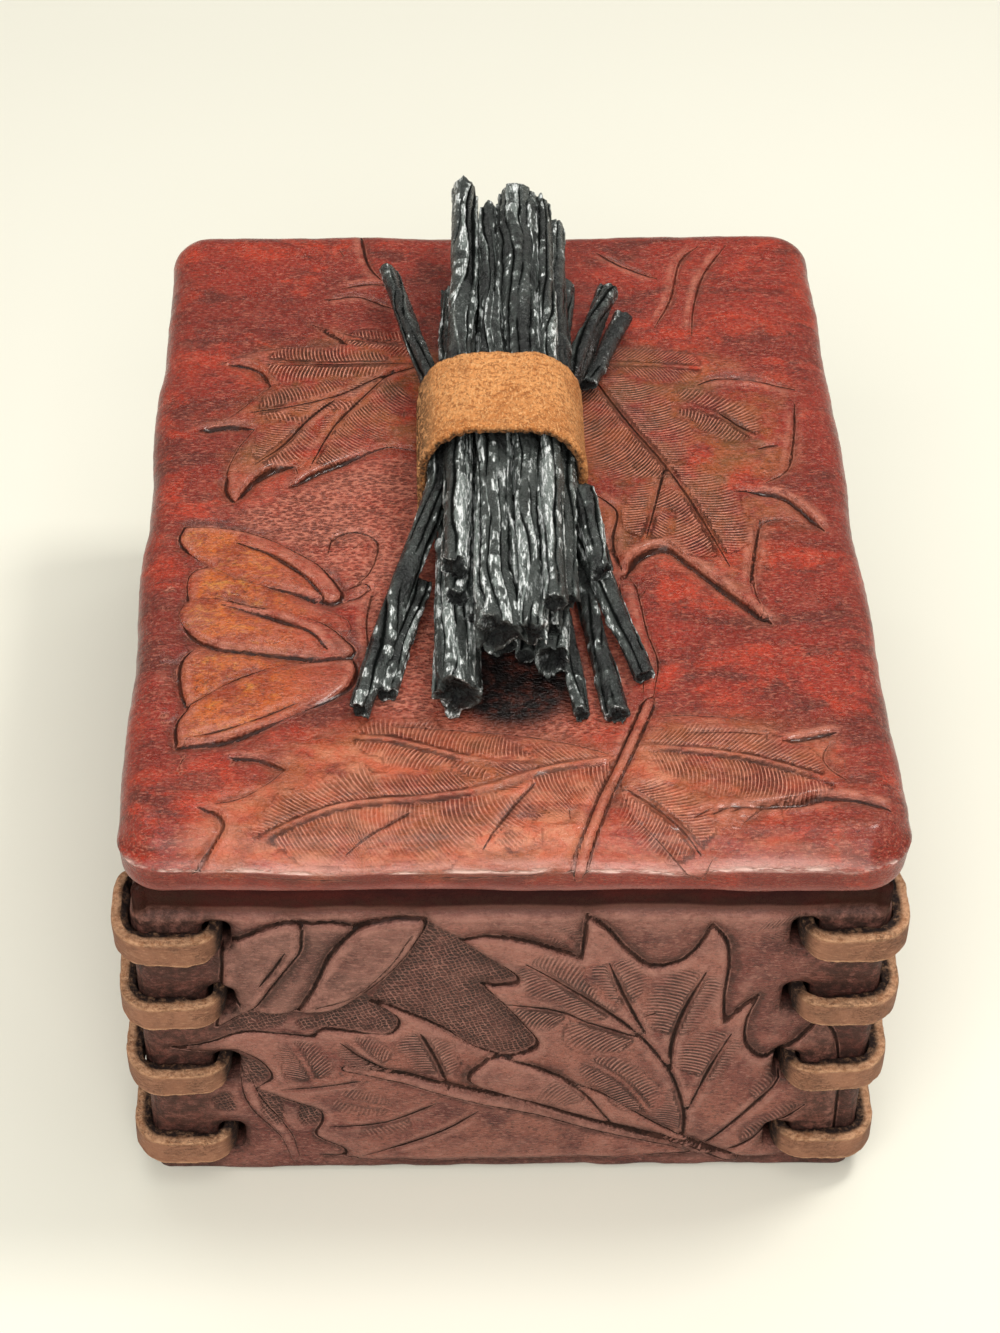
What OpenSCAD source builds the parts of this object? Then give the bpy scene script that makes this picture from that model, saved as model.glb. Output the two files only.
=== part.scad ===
// Lidded trinket box with a leather-carved face: four mitred wall panels laced
// together at the corners, a lift-off lid, and a stick bundle for a handle.
// Millimetres, +Z up, front face towards -Y, origin at the centre of the underside.

/* [Box] */
// Width of the box body across the front
body_w = 117.4; // [100:0.2:140]
// Depth of the box body, front to back
body_d = 156; // [140:0.5:180]
// Height of the wall panels
body_h = 71.3; // [60:0.1:90]
// Thickness of the wall panels
wall_t = 6; // [5:0.1:8]
// Thickness of the floor panel
floor_t = 6; // [4:0.5:9]
// Radius of the upright corners of the body
body_r = 3; // [2:0.1:4]

/* [Lid] */
// Width of the lid
lid_w = 120; // [119:0.2:124]
// Depth of the lid
lid_d = 160; // [159:0.5:163]
// Thickness of the lid slab
lid_t = 10.5; // [9:0.5:13]
// Corner radius of the lid seen from above
lid_r = 8; // [6:0.5:12]
// Gap between the closed lid and the wall tops
lid_gap = 0.2; // [0.1:0.05:0.5]
// Height of the locating strips under the lid
rim_h = 6; // [4:0.5:9]
// Thickness of the locating strips
rim_t = 5; // [3:0.5:7]
// Side clearance of the locating strips inside the walls
rim_gap = 0.8; // [0.4:0.1:1.5]

/* [Lacing] */
// Thickness of a lace strip
lace_t = 2.8; // [2:0.1:3]
// Height of a lace strip
lace_h = 5.5; // [4:0.1:6]
// Gap between a lace and the wall face it runs along
lace_gap = 0.4; // [0.2:0.1:0.8]
// Distance of a lace hole from the corner, along either wall
lace_in = 10.9; // [10:0.1:16]
// Width of a lace hole
hole_w = 4.6; // [4:0.1:6]
// Height of a lace hole
hole_h = 7; // [6.5:0.1:8]

/* [Handle] */
// Thickness of the sticks against the usual bundle
stick_k = 1; // [0.8:0.02:1]
// Width of the suede band along the sticks
band_w = 20; // [14:0.5:20]
// Thickness of the suede band
band_t = 2; // [1.5:0.1:2]
// Clear width inside the suede band
band_in = 24.4; // [24.4:0.2:26]
// Radius of the two pins that hold the bundle on the lid
pin_r = 1; // [0.8:0.05:1.1]

/* [Hidden] */
$fn = 48;
lid_z = body_h + lid_gap;           // underside of the closed lid
lid_top = lid_z + lid_t;            // 82 mm above the table
lace_z = [9, 27.5, 44.5, 60];       // middle heights of the laces, low to high
band_y = 4.5;                       // middle of the band

// Main sticks: name, front end, back end, radius at either end.
// The third number of a point is its height above the lid's top face.
STICKS = [
  ["stick_bottom_left", [-8.3, -54, 5.2], [-7, 52, 4.6], 3.2, 1.8],
  ["stick_bottom_2", [-3.6, -37, 4.2], [-2.6, 55, 4.2], 1.35, 1.6],
  ["stick_bottom_3", [-0.4, -41, 4.3], [1.8, 50, 4.3], 1.7, 2],
  ["stick_bottom_4", [2.9, -42, 3.3], [5.4, 54, 3.3], 1.1, 1.1],
  ["stick_bottom_right", [7.1, -46, 4.9], [8.7, 50, 4.6], 2.6, 1.7],
  ["stick_mid_1", [-8, -36, 9.8], [-4.4, 56, 9.8], 1.5, 1.5],
  ["stick_mid_2", [-4.4, -39, 8.4], [-1.2, 60, 8], 1.7, 1.6],
  ["stick_mid_3", [-0.7, -38, 8.4], [2.6, 62, 8.5], 1.8, 1.7],
  ["stick_mid_4", [3.2, -39, 8], [6.1, 60, 8], 1.9, 1.7],
  ["stick_mid_5", [6.7, -42, 8.8], [9, 54, 7.9], 1.1, 1],
  ["stick_top_left", [-8.4, -33, 13.5], [-4.9, 73, 13.8], 1.9, 2],
  ["stick_top_butt_front", [-2.1, -48, 13.6], [-0.3, 67, 13.4], 3.1, 1.3],
  ["stick_top_butt_back", [3.2, -48, 13.4], [4.8, 69, 13.8], 1.9, 3.4],
  ["stick_top_right", [6.9, -43, 15], [9.5, 68, 14.6], 1.8, 1],
  ["stick_side_right", [9.2, -38, 10.9], [10.9, 64, 10.6], 1.8, 2]
];

// Loose twigs: name, points from the tucked end to the tip, radius at each point.
TWIGS = [
  ["twig_front_left_long", [[-10.7, 4, 9.8], [-10.8, -8, 9.6], [-23.5, -52, 1.6]], [1.25, 1.25, 1.4]],
  ["twig_front_left_short", [[-13.4, -23.5, 3.2], [-19.4, -48.4, 1.4]], [1.1, 1.2]],
  ["twig_front_right_long", [[11.8, -14, 2.6], [16.8, -53.5, 1.6]], [1.3, 1.4]],
  ["twig_front_right_outer", [[10.7, 4, 7.4], [10.8, -8, 7.3], [21.2, -45.2, 1.6]], [1.25, 1.25, 1.3]],
  ["twig_front_right_stub", [[13, -9, 10.4], [15.5, -28, 8.2]], [1.2, 1.35]],
  ["twig_front_right_thin", [[8, -12, 1.1], [11.4, -53, 1.1]], [0.9, 0.9]],
  ["twig_back_left", [[-10.7, 5.4, 9.8], [-10.8, 17, 9.6], [-19, 58, 6]], [1.25, 1.25, 1.2]],
  ["twig_back_right_thick", [[10.7, 5.4, 7.4], [10.75, 17, 7.3], [20.8, 52, 5.5]], [1.25, 1.25, 1.9]],
  ["twig_back_right_fork", [[15.6, 27, 3.6], [23.7, 48.5, 2.8]], [1.2, 1.2]],
  ["twig_back_right_stub", [[11.2, 29, 7], [12.6, 52, 6.6]], [1, 1.5]]
];

CORNERS = [["front_left", -1, -1], ["front_right", 1, -1], ["back_left", -1, 1], ["back_right", 1, 1]];

// ---- shapes that repeat ----

// Rectangle w by d about the origin with round corners
module round_rect(w, d, r) {
  square([w - 2 * r, d], center = true);
  square([w, d - 2 * r], center = true);
  for (x = [-1, 1], y = [-1, 1]) translate([x * (w / 2 - r), y * (d / 2 - r)]) circle(r);
}

// Quarter ring about the origin in the first quadrant, from radius a to radius b
module quarter_ring(a, b) {
  intersection() {
    difference() { circle(b); circle(a); }
    square(b + 1);
  }
}

// Upright slot with round corners through a wall, its axis along Y
module lace_hole(depth) {
  rotate([90, 0, 0]) linear_extrude(depth, center = true) round_rect(hole_w, hole_h, 0.8);
}

// Round rod between two points, tapering from ra to rb
module rod(p, q, ra, rb) {
  v = q - p;
  translate(p) rotate([0, acos(v[2] / norm(v)), atan2(v[1], v[0])]) cylinder(h = norm(v), r1 = ra, r2 = rb);
}

// Stick from p to q with softly tapered ends
module barrel_stick(p, q, ra, rb) {
  v = q - p; len = norm(v);
  translate(p) rotate([0, acos(v[2] / len), atan2(v[1], v[0])]) rotate_extrude()
    polygon([[0, 0], [0.82 * ra, 0], [ra, 0.06 * len], [rb, 0.95 * len], [0.78 * rb, len], [0, len]]);
}

// Twig through a short list of points, with a knot at each bend
module twig(pts, rad) {
  up = [for (p = pts) p + [0, 0, lid_top]];
  for (i = [0:len(up) - 2]) rod(up[i], up[i + 1], stick_k * rad[i], stick_k * rad[i + 1]);
  if (len(up) > 2) for (i = [1:len(up) - 2]) translate(up[i]) sphere(stick_k * rad[i] * 1.12);
}

// ---- box body ----

module base_panel() {
  color("#5a2d28") linear_extrude(floor_t)
    square([body_w - 2 * wall_t - 0.1, body_d - 2 * wall_t - 0.1], center = true);
}

// Wall panel that stands across -Y, mitred at both ends, with a row of lace holes near each end
module wall(len, half_d) {
  difference() {
    linear_extrude(body_h) intersection() {
      polygon([[-len / 2, -half_d], [len / 2, -half_d], [len / 2 - wall_t, -half_d + wall_t], [-len / 2 + wall_t, -half_d + wall_t]]);
      round_rect(len, 2 * half_d, body_r);
    }
    for (s = [-1, 1], z = lace_z)
      translate([s * (len / 2 - lace_in - hole_w / 2), -half_d + wall_t / 2, z]) lace_hole(wall_t + 2);
  }
}
module front_wall() { color("#744139") wall(body_w, body_d / 2); }
module back_wall() { color("#744139") rotate([0, 0, 180]) wall(body_w, body_d / 2); }
module left_wall() { color("#744139") rotate([0, 0, -90]) wall(body_d, body_w / 2); }
module right_wall() { color("#744139") rotate([0, 0, 90]) wall(body_d, body_w / 2); }

// One arm of a lace, from the middle of the corner bend to the end in its hole.
// The corner's bend centre is the origin, and the arm runs along +X outside a wall whose face lies at y = -body_r.
module lace_arm(run) {
  ri = body_r + lace_gap;                       // inside radius of the corner bend
  x_hole = run - body_r;                        // corner side of the hole
  bend = 0.4;                                   // inside radius of the bend into the hole
  x_in = x_hole + 0.1;                          // near face of the strip inside the hole
  translate([-0.01, -ri - lace_t]) square([x_in - bend + 0.02, lace_t]);
  translate([x_in - bend, -ri + bend]) mirror([0, 1]) quarter_ring(bend, bend + lace_t);
  translate([x_in, -ri + bend - 0.01]) square([lace_t, wall_t - bend + lace_gap + 0.01]);
}

// Strip that goes round a corner through a hole in either wall
module lace(sx, sy, z) {
  color("#a2714c") translate([sx * (body_w / 2 - body_r), sy * (body_d / 2 - body_r), z - lace_h / 2])
    linear_extrude(lace_h) mirror([sx > 0 ? 1 : 0, 0]) mirror([0, sy > 0 ? 1 : 0]) {
      lace_arm(lace_in);
      mirror([1, -1]) lace_arm(lace_in);
      rotate(180) quarter_ring(body_r + lace_gap, body_r + lace_gap + lace_t);
    }
}

// ---- lid ----

// Corner of the lid slab: a round puck with soft edges
module lid_puck(r, t, e1, e2) {
  n = 6;
  rotate_extrude($fn = 40) polygon(concat(
    [[0, 0]],
    [for (i = [0:n]) [r - e1 + e1 * sin(90 * i / n), e1 - e1 * cos(90 * i / n)]],
    [for (i = [0:n]) [r - e2 + e2 * cos(90 * i / n), t - e2 + e2 * sin(90 * i / n)]],
    [[0, t]]));
}

module lid_panel() {
  color("#96362a") difference() {
    hull() for (x = [-1, 1], y = [-1, 1])
      translate([x * (lid_w / 2 - lid_r), y * (lid_d / 2 - lid_r), lid_z]) lid_puck(lid_r, lid_t, 3, 4);
    pins(pin_r + 0.05, lid_top - 7, 8);
  }
}

rim_x = body_w / 2 - wall_t - rim_gap;   // outside faces of the locating strips
rim_y = body_d / 2 - wall_t - rim_gap;
module rim_strip(a, b) { color("#5a2d28") translate([a[0], a[1], lid_z - rim_h]) cube([b[0] - a[0], b[1] - a[1], rim_h]); }
module lid_rim_front() { rim_strip([-rim_x, -rim_y], [rim_x, -rim_y + rim_t]); }
module lid_rim_back() { rim_strip([-rim_x, rim_y - rim_t], [rim_x, rim_y]); }
module lid_rim_left() { rim_strip([-rim_x, -rim_y + rim_t], [-rim_x + rim_t, rim_y - rim_t]); }
module lid_rim_right() { rim_strip([rim_x - rim_t, -rim_y + rim_t], [rim_x, rim_y - rim_t]); }

// ---- handle ----

// Two upright pins under the middle stick of the lowest row
module pins(r, z0, h) { for (p = [[-0.1, -24], [1.4, 34]]) translate([p[0], p[1], z0]) cylinder(h = h, r = r); }
module handle_pins() { color("#8a8a8a") pins(pin_r, lid_top - 7, 9.2 + pin_r); }

// Loop of suede round the bundle, flat underneath and arched on top
module suede_band() {
  in_w = band_in; in_h = 16.7;
  z0 = lid_top;
  color("#b8763c") translate([0, band_y + band_w / 2, z0]) rotate([90, 0, 0]) linear_extrude(band_w) difference() {
    arch(in_w + 2 * band_t, in_h + 2 * band_t, 2.5, 10.2);
    translate([0, band_t]) arch(in_w, in_h, 1.5, 8.2);
  }
}
// Arch outline standing on y = 0, with small round corners below and large ones above
module arch(w, h, r0, r1) {
  translate([-w / 2, r0]) square([w, h - r0 - r1]);
  translate([-w / 2 + r0, 0]) square([w - 2 * r0, r0 + 1]);
  translate([-w / 2 + r1, r0]) square([w - 2 * r1, h - r0]);
  for (s = [-1, 1]) {
    translate([s * (w / 2 - r0), r0]) circle(r0);
    translate([s * (w / 2 - r1), h - r1]) circle(r1);
  }
}

module main_stick(s) {
  color("#26282a") difference() {
    barrel_stick(s[1] + [0, 0, lid_top], s[2] + [0, 0, lid_top], stick_k * s[3], stick_k * s[4]);
    if (s[0] == "stick_bottom_3") pins(pin_r + 0.05, lid_top, 3.4 + pin_r);
  }
}
module loose_twig(t) { color("#2c2e2f") twig(t[1], t[2]); }

// ---- what is drawn ----

base_panel();
front_wall();
back_wall();
left_wall();
right_wall();
for (c = CORNERS, i = [0:3])
  lace(c[1], c[2], lace_z[i]);
lid_panel();
lid_rim_front();
lid_rim_back();
lid_rim_left();
lid_rim_right();
handle_pins();
suede_band();
for (s = STICKS) main_stick(s);
for (t = TWIGS) loose_twig(t);
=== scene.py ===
import math

import bpy
import numpy as np
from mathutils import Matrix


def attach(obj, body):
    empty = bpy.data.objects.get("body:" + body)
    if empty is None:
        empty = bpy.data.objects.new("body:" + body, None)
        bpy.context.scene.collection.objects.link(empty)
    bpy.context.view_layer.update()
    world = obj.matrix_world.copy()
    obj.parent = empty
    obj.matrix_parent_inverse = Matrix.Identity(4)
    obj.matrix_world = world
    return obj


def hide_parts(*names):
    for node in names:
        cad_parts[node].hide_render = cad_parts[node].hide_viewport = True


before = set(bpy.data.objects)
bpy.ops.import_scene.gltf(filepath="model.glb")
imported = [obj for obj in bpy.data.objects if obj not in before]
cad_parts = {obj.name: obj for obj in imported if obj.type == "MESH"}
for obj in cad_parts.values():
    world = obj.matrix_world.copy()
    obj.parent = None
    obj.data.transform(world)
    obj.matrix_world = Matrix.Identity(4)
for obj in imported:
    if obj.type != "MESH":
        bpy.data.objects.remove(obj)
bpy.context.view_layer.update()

# Everything below is worked out in millimetres, in the frame of the CAD model, and goes to Blender in metres.
MM = 0.001


# ------------------------------------------------------------------ numbers

def smooth(a, b, x):
    t = np.clip((x - a) / (b - a), 0.0, 1.0)
    return t * t * (3.0 - 2.0 * t)


def _hash(ix, iy, seed):
    h = (ix.astype(np.int64) * 374761393 + iy.astype(np.int64) * 668265263 + seed * 974634721) & 0xFFFFFFFF
    h = ((h ^ (h >> 13)) * 1274126177) & 0xFFFFFFFF
    h = ((h ^ (h >> 16)) * 2246822519) & 0xFFFFFFFF
    h = h ^ (h >> 15)
    return h / 2147483647.5 - 1.0


def vnoise(x, y, seed, px=0):
    """Smooth value noise from -1 to 1. px is a whole period in x, for things that close on themselves."""
    x, y = np.broadcast_arrays(np.asarray(x, float), np.asarray(y, float))
    fx, fy = np.floor(x), np.floor(y)
    tx, ty = x - fx, y - fy
    ix, iy = fx.astype(np.int64), fy.astype(np.int64)
    ix1 = ix + 1
    if px:
        ix, ix1 = ix % px, ix1 % px
    tx = tx * tx * tx * (tx * (tx * 6 - 15) + 10)
    ty = ty * ty * ty * (ty * (ty * 6 - 15) + 10)
    a, b = _hash(ix, iy, seed), _hash(ix1, iy, seed)
    c, d = _hash(ix, iy + 1, seed), _hash(ix1, iy + 1, seed)
    return (a + (b - a) * tx) * (1 - ty) + (c + (d - c) * tx) * ty


def fbm(x, y, seed, octaves=4, px=0):
    out, amp, tot = 0.0, 1.0, 0.0
    for k in range(octaves):
        f = 2 ** k
        out = out + amp * vnoise(np.asarray(x) * f, np.asarray(y) * f, seed + 17 * k, px * f)
        tot += amp
        amp *= 0.5
    return out / tot


def cr(pts, step=0.7):
    """Smooth open curve through the points."""
    P = np.array(pts, float)
    n = len(P)
    if n == 2:
        m = max(2, int(np.linalg.norm(P[1] - P[0]) / step))
        return P[0] + (P[1] - P[0]) * np.linspace(0, 1, m + 1)[:, None]
    out = []
    for i in range(n - 1):
        p0 = P[i - 1] if i > 0 else 2 * P[0] - P[1]
        p1, p2 = P[i], P[i + 1]
        p3 = P[i + 2] if i + 2 < n else 2 * P[-1] - P[-2]
        m = max(2, int(np.linalg.norm(p2 - p1) / step))
        t = np.arange(m)[:, None] / m
        out.append(0.5 * (2 * p1 + (p2 - p0) * t + (2 * p0 - 5 * p1 + 4 * p2 - p3) * t ** 2 + (3 * p1 - p0 - 3 * p2 + p3) * t ** 3))
    out.append(P[-1:])
    return np.vstack(out)


def near(P, x, y):
    """Distance to a polyline, arc length of the nearest point, its side (+ on the left), the line's length and the vector from it."""
    V = P[1:] - P[:-1]
    L = np.hypot(V[:, 0], V[:, 1])
    cum = np.concatenate([[0], np.cumsum(L)])
    best, bt, bs = np.full(x.shape, 1e9), np.zeros(x.shape), np.ones(x.shape)
    bx, by = np.zeros(x.shape), np.zeros(x.shape)
    for (ax, ay), (vx, vy), l, c in zip(P[:-1], V, L, cum):
        if l < 1e-9:
            continue
        dx, dy = x - ax, y - ay
        t = np.clip((dx * vx + dy * vy) / (l * l), 0, 1)
        ex, ey = dx - t * vx, dy - t * vy
        d = ex * ex + ey * ey
        m = d < best
        best[m] = d[m]
        bt[m] = c + t[m] * l
        bs[m] = np.sign(vx * dy[m] - vy * dx[m])
        bx[m], by[m] = ex[m], ey[m]
    return np.sqrt(best), bt, bs, cum[-1], bx, by


def inside(P, x, y):
    odd = np.zeros(x.shape, bool)
    Q = np.roll(P, -1, axis=0)
    for (ax, ay), (bx, by) in zip(P, Q):
        if ay == by:
            continue
        cross = ((ay > y) != (by > y)) & (x < (bx - ax) * (y - ay) / (by - ay) + ax)
        odd ^= cross
    return odd


def blur(F, r, wrap=False):
    """Three box filters of r cells to either side. wrap closes the second axis."""
    for _ in range(3):
        for ax in (0, 1):
            w = [(0, 0), (0, 0)]
            w[ax] = (r + 1, r)
            c = np.cumsum(np.pad(F, w, mode="wrap" if wrap and ax else "edge"), axis=ax)
            F = (c[2 * r + 1:] - c[:-2 * r - 1] if ax == 0 else c[:, 2 * r + 1:] - c[:, :-2 * r - 1]) / (2 * r + 1)
    return F


# ------------------------------------------------------------------ carving

class Relief:
    """A carved face: height in mm, and what the finish needs to know about each spot.
    Cut lines are kept as the vector to the nearest one, which stays exact between grid points."""
    FIELDS = ("h", "lx", "ly", "lw", "lo", "lf", "cav", "ph", "am", "st", "ms", "leaf", "pet", "grn", "rub", "occ", "slope", "pale")

    def __init__(s, x0, x1, y0, y1, p):
        s.xs, s.ys, s.p = np.arange(x0, x1 + p / 2, p), np.arange(y0, y1 + p / 2, p), p
        s.X, s.Y = np.meshgrid(s.xs, s.ys)
        for f in s.FIELDS:
            setattr(s, f, np.zeros(s.X.shape))
        s.q = np.full(s.X.shape, 9.0)
        s.hid = np.zeros(s.X.shape, int)
        s.lf += 3.0
        s.lw += 2.0

    def win(s, P, m):
        lo, hi = P.min(0) - m, P.max(0) + m
        j = slice(*np.searchsorted(s.ys, (lo[1], hi[1])))
        i = slice(*np.searchsorted(s.xs, (lo[0], hi[0])))
        return (j, i), s.X[j, i], s.Y[j, i]

    def line(s, sl, d, vx, vy, w, off):
        """Take this line where it is the nearest for its width."""
        w = 0.60 * w
        q = d / w + off
        m = q < s.q[sl]
        for f, v in (("q", q), ("lx", vx), ("ly", vy), ("lw", 1.0 / w), ("lo", off), ("lf", 3.0 * smooth(0.85, 1.7, d))):
            F = getattr(s, f)
            F[sl] = np.where(m, v, F[sl])

    def cut(s, pts, w=0.4, depth=0.4, lip=0.1, bevel=0.0, side=0, bw=2.0, ends=(0.2, 0.2), dark=1.0, wash_and_shade=0.5):
        """A knife cut, with one side pressed down if bevel is given."""
        P = cr(pts)
        sl, x, y = s.win(P, 4.5 * bw if bevel else 4.0)
        if not x.size:
            return
        d, t, sd, L, ex, ey = near(P, x, y)
        u = t / L
        tp = 0.15 + 0.85 * smooth(0, max(ends[0], 1e-3), u) * smooth(0, max(ends[1], 1e-3), 1 - u)
        tp = tp * (0.82 + 0.40 * vnoise(t / 5.0, t * 0 + P[0, 0], 5))
        ww = w * (0.40 + 0.60 * tp)
        s.line(sl, d, ex, ey, ww, (1 - dark) + 0.25 * (1 - tp))
        s.h[sl] -= 0.8 * depth * tp * np.exp(-(d / max(1.15 * w, 0.62)) ** 2)
        up = lip * tp * np.exp(-((d - max(2.0 * w, 1.0)) / max(w, 0.55)) ** 2)
        if side:
            up = up * np.where(sd * side > 0, 0.25, 1.3)
        s.h[sl] += up
        s.rub[sl] = np.maximum(s.rub[sl], np.clip(up / 0.16, 0, 1))
        s.cav[sl] = np.maximum(s.cav[sl], wash_and_shade * tp * np.exp(-d / (1.3 * w)))
        if bevel:
            f = tp * np.exp(-d / bw) * (sd * side > 0)
            s.h[sl] -= bevel * f
            s.cav[sl] = np.maximum(s.cav[sl], 0.9 * wash_and_shade * f ** 1.5)

    def ridge(s, pts, w=0.8, height=0.35, groove=0.2, ends=(0.05, 0.1), dark=0.9, gw=0.28):
        """A raised vein or stem, a broad one with a fine cut along both sides."""
        P = cr(pts)
        sl, x, y = s.win(P, 5.0)
        if not x.size:
            return
        d, t, sd, L, ex, ey = near(P, x, y)
        u = t / L
        tp = 0.25 + 0.75 * smooth(0, max(ends[0], 1e-3), u) * smooth(0, max(ends[1], 1e-3), 1 - u)
        ww = w * (0.5 + 0.5 * tp)
        s.h[sl] += height * tp * np.exp(-(d / ww) ** 4)
        g = d - 1.25 * ww
        s.h[sl] -= groove * tp * np.exp(-(g / 0.55) ** 2)
        if w > 0.75:
            k = g / np.maximum(d, 1e-6)
            s.line(sl, np.abs(g), ex * k, ey * k, gw * (0.4 + 0.6 * tp), (1 - dark) + 0.3 * (1 - tp) + 3.0 * smooth(0.75, 0.35, d / ww))
        s.cav[sl] = np.maximum(s.cav[sl], 0.6 * dark * tp * np.exp(-(g / 0.42) ** 2))
        s.rub[sl] = np.maximum(s.rub[sl], 0.8 * tp * np.exp(-(d / (0.7 * ww)) ** 2))

    def field(s, P, m):
        sl, x, y = s.win(P, m)
        C = np.vstack([P, P[:1]])
        d, t, sd, L, ex, ey = near(C, x, y)
        return sl, x, y, np.where(inside(P, x, y), d, -d), ex, ey

    def shape(s, segs, rise=0.3, pillow=2.5, bevel=0.5, bw=2.4, w=0.38, depth=0.35, tint=0.0, petal=0.0, green=0.0, seed=1, wave=0.35, dark=1.0, over=False, wash_and_shade=0.5, halo=1.0, lip=0.12, sag=0.0):
        """A closed figure, such as a leaf or petal, that stands up from the ground pressed down around it. Its pieces meet in points.
        over lays it on top of what is there, and sag draws its upper part down."""
        P = np.vstack([cr(g, 0.8)[:-1] for g in segs])
        P[:, 1] -= sag * np.maximum(P[:, 1] - 54, 0)
        sl, x, y, sd, ex, ey = s.field(P, 4.5 * bw)
        if not x.size:
            return
        var = np.clip(1 - wave + wave * 1.3 * vnoise(x / 7.0, y / 7.0, seed), 0.12, 1.25)
        out = np.maximum(-sd, 0)
        ins = np.maximum(sd, 0)
        mask = smooth(-0.15, 0.45, sd)
        if over:
            top = smooth(0.0, 0.5, sd)
            s.h[sl] *= 1 - top
            s.cav[sl] *= 1 - top
            s.rub[sl] *= 1 - top
            s.q[sl] = np.where(sd > 0.05, 9.0, s.q[sl])
            s.lf[sl] = np.where(sd > 0.05, 3.0, s.lf[sl])
        s.h[sl] += rise * (1 - np.exp(-ins / pillow)) * (sd > 0)
        f = np.exp(-out / bw) * (sd <= 0) * var
        s.h[sl] -= bevel * f
        a = np.abs(sd)
        s.h[sl] -= 0.8 * depth * var * np.exp(-(a / max(1.15 * w, 0.62)) ** 2)
        s.line(sl, a, ex, ey, w * np.sqrt(var), (1 - dark) + 0.8 * smooth(0.45, 0.15, var))
        up = lip * var * np.exp(-((sd - max(2.0 * w, 1.0)) / max(1.1 * w, 0.55)) ** 2)
        s.h[sl] += up
        s.cav[sl] = np.maximum(s.cav[sl], wash_and_shade * var * np.exp(-out / (0.9 * halo)) * (sd <= 0))
        s.cav[sl] = np.maximum(s.cav[sl], 0.45 * wash_and_shade * var * np.exp(-ins / 0.45) * (sd > 0))
        s.rub[sl] = np.maximum(s.rub[sl], np.clip(up / 0.16, 0, 1))
        for key, v in (("leaf", tint), ("pet", petal), ("grn", green)):
            g = getattr(s, key)
            if key == "pet" and v:
                v = v * (0.45 + 0.55 * smooth(0.2, 2.8, sd + 0.8 * vnoise(x / 3, y / 3, seed + 2)))
                g[sl] = g[sl] * (1 - mask) + mask * v
            elif np.any(v):
                g[sl] = np.maximum(g[sl], mask * v)
            elif over:
                g[sl] *= 1 - mask
        if petal or tint:
            s.st[sl] *= 1 - mask
            s.ms[sl] *= 1 - mask
            s.am[sl] *= 1 - mask * (petal > 0)

    def hatch(s, pts, side=0, d0=0.5, d1=4.0, t0=0.0, t1=1.0, lean=0.7, pitch=0.85, amp=1.0, seed=3):
        """A row of fine stamped strokes along a vein, leaning back from it."""
        P = cr(pts)
        d1 = 1.35 * d1
        sl, x, y = s.win(P, d1 + 1.5)
        if not x.size:
            return
        d, t, sd, L, ex, ey = near(P, x, y)
        u = t / L
        wob = d1 * (0.90 + 0.18 * vnoise(t / 2.6, t * 0 + 0.5, seed))
        # each patch is rounded at its two ends
        r = np.clip((u - t0) / max(t1 - t0, 1e-3), 0, 1)
        wob = wob * np.sqrt(np.clip(1 - (2 * r - 1) ** 4, 0, 1))
        a = amp * smooth(d0, d0 + 0.3, d) * smooth(0, 0.40 * d1, wob - d) * (u > max(t0, 0.002)) * (u < min(t1, 0.998))
        if side:
            a = a * (sd * side > 0)
        a = a * (0.80 + 0.3 * vnoise(x / 5.0, y / 5.0, seed + 9))
        ph = (t - lean * d + 0.05 * d * d * np.sign(lean)) / (0.80 * pitch) + 0.10 * vnoise(x / 2.0, y / 2.0, seed + 4)
        m = a > s.am[sl] + 0.02
        s.ph[sl] = np.where(m, ph, s.ph[sl])
        s.am[sl] = np.where(m, a, s.am[sl])
        s.hid[sl] = np.where(m, seed * 2 + 1, s.hid[sl])
        s.h[sl] -= 0.05 * np.clip(a, 0, 1)

    def ground(s, pts, kind="st", amp=1.0, sink=0.15, soft=1.5):
        """Stippled (st) or lattice-stamped (ms) ground inside a closed outline."""
        P = cr(list(pts) + [pts[0]], 1.0)[:-1]
        sl, x, y, sd, ex, ey = s.field(P, 3.0)
        if not x.size:
            return
        m = smooth(-soft * 0.3, soft, sd)
        g = getattr(s, kind)
        g[sl] = np.maximum(g[sl], amp * m)
        s.h[sl] -= sink * m

    def tidy(s):
        """Strokes of two stamps don't run into each other, and halfway between two lines there is none."""
        far = np.zeros(s.am.shape, bool)
        for ax in (0, 1):
            jump = np.hypot(np.diff(s.lx, axis=ax), np.diff(s.ly, axis=ax)) > 1.7 * s.p
            if ax == 0:
                far[1:] |= jump
                far[:-1] |= jump
            else:
                far[:, 1:] |= jump
                far[:, :-1] |= jump
        s.lf = np.where(far & (np.hypot(s.lx, s.ly) > 0.3), 3.0, s.lf)
        live = s.am > 0.03
        edge = np.zeros(s.am.shape, bool)
        for ax in (0, 1):
            d = (np.diff(s.hid, axis=ax) != 0)
            both = (live[1:] & live[:-1]) if ax == 0 else (live[:, 1:] & live[:, :-1])
            d = d & both
            if ax == 0:
                edge[1:] |= d
                edge[:-1] |= d
            else:
                edge[:, 1:] |= d
                edge[:, :-1] |= d
        grow = edge.copy()
        grow[1:] |= edge[:-1]
        grow[:-1] |= edge[1:]
        grow[:, 1:] |= edge[:, :-1]
        grow[:, :-1] |= edge[:, 1:]
        s.am = np.where(grow, 0.0, s.am)

    def hollows(s):
        """How far each spot lies below or above its surroundings, and which way it leans."""
        a, b = int(round(1.0 / s.p)), int(round(2.8 / s.p))
        s.occ = np.clip((blur(s.h, a) - s.h) / 0.16 + 0.6 * (blur(s.h, b) - s.h) / 0.22, -1, 1)
        s.slope = np.clip(-np.gradient(blur(s.h, 1), s.p, axis=0) / 0.40, -1, 1)

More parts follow.
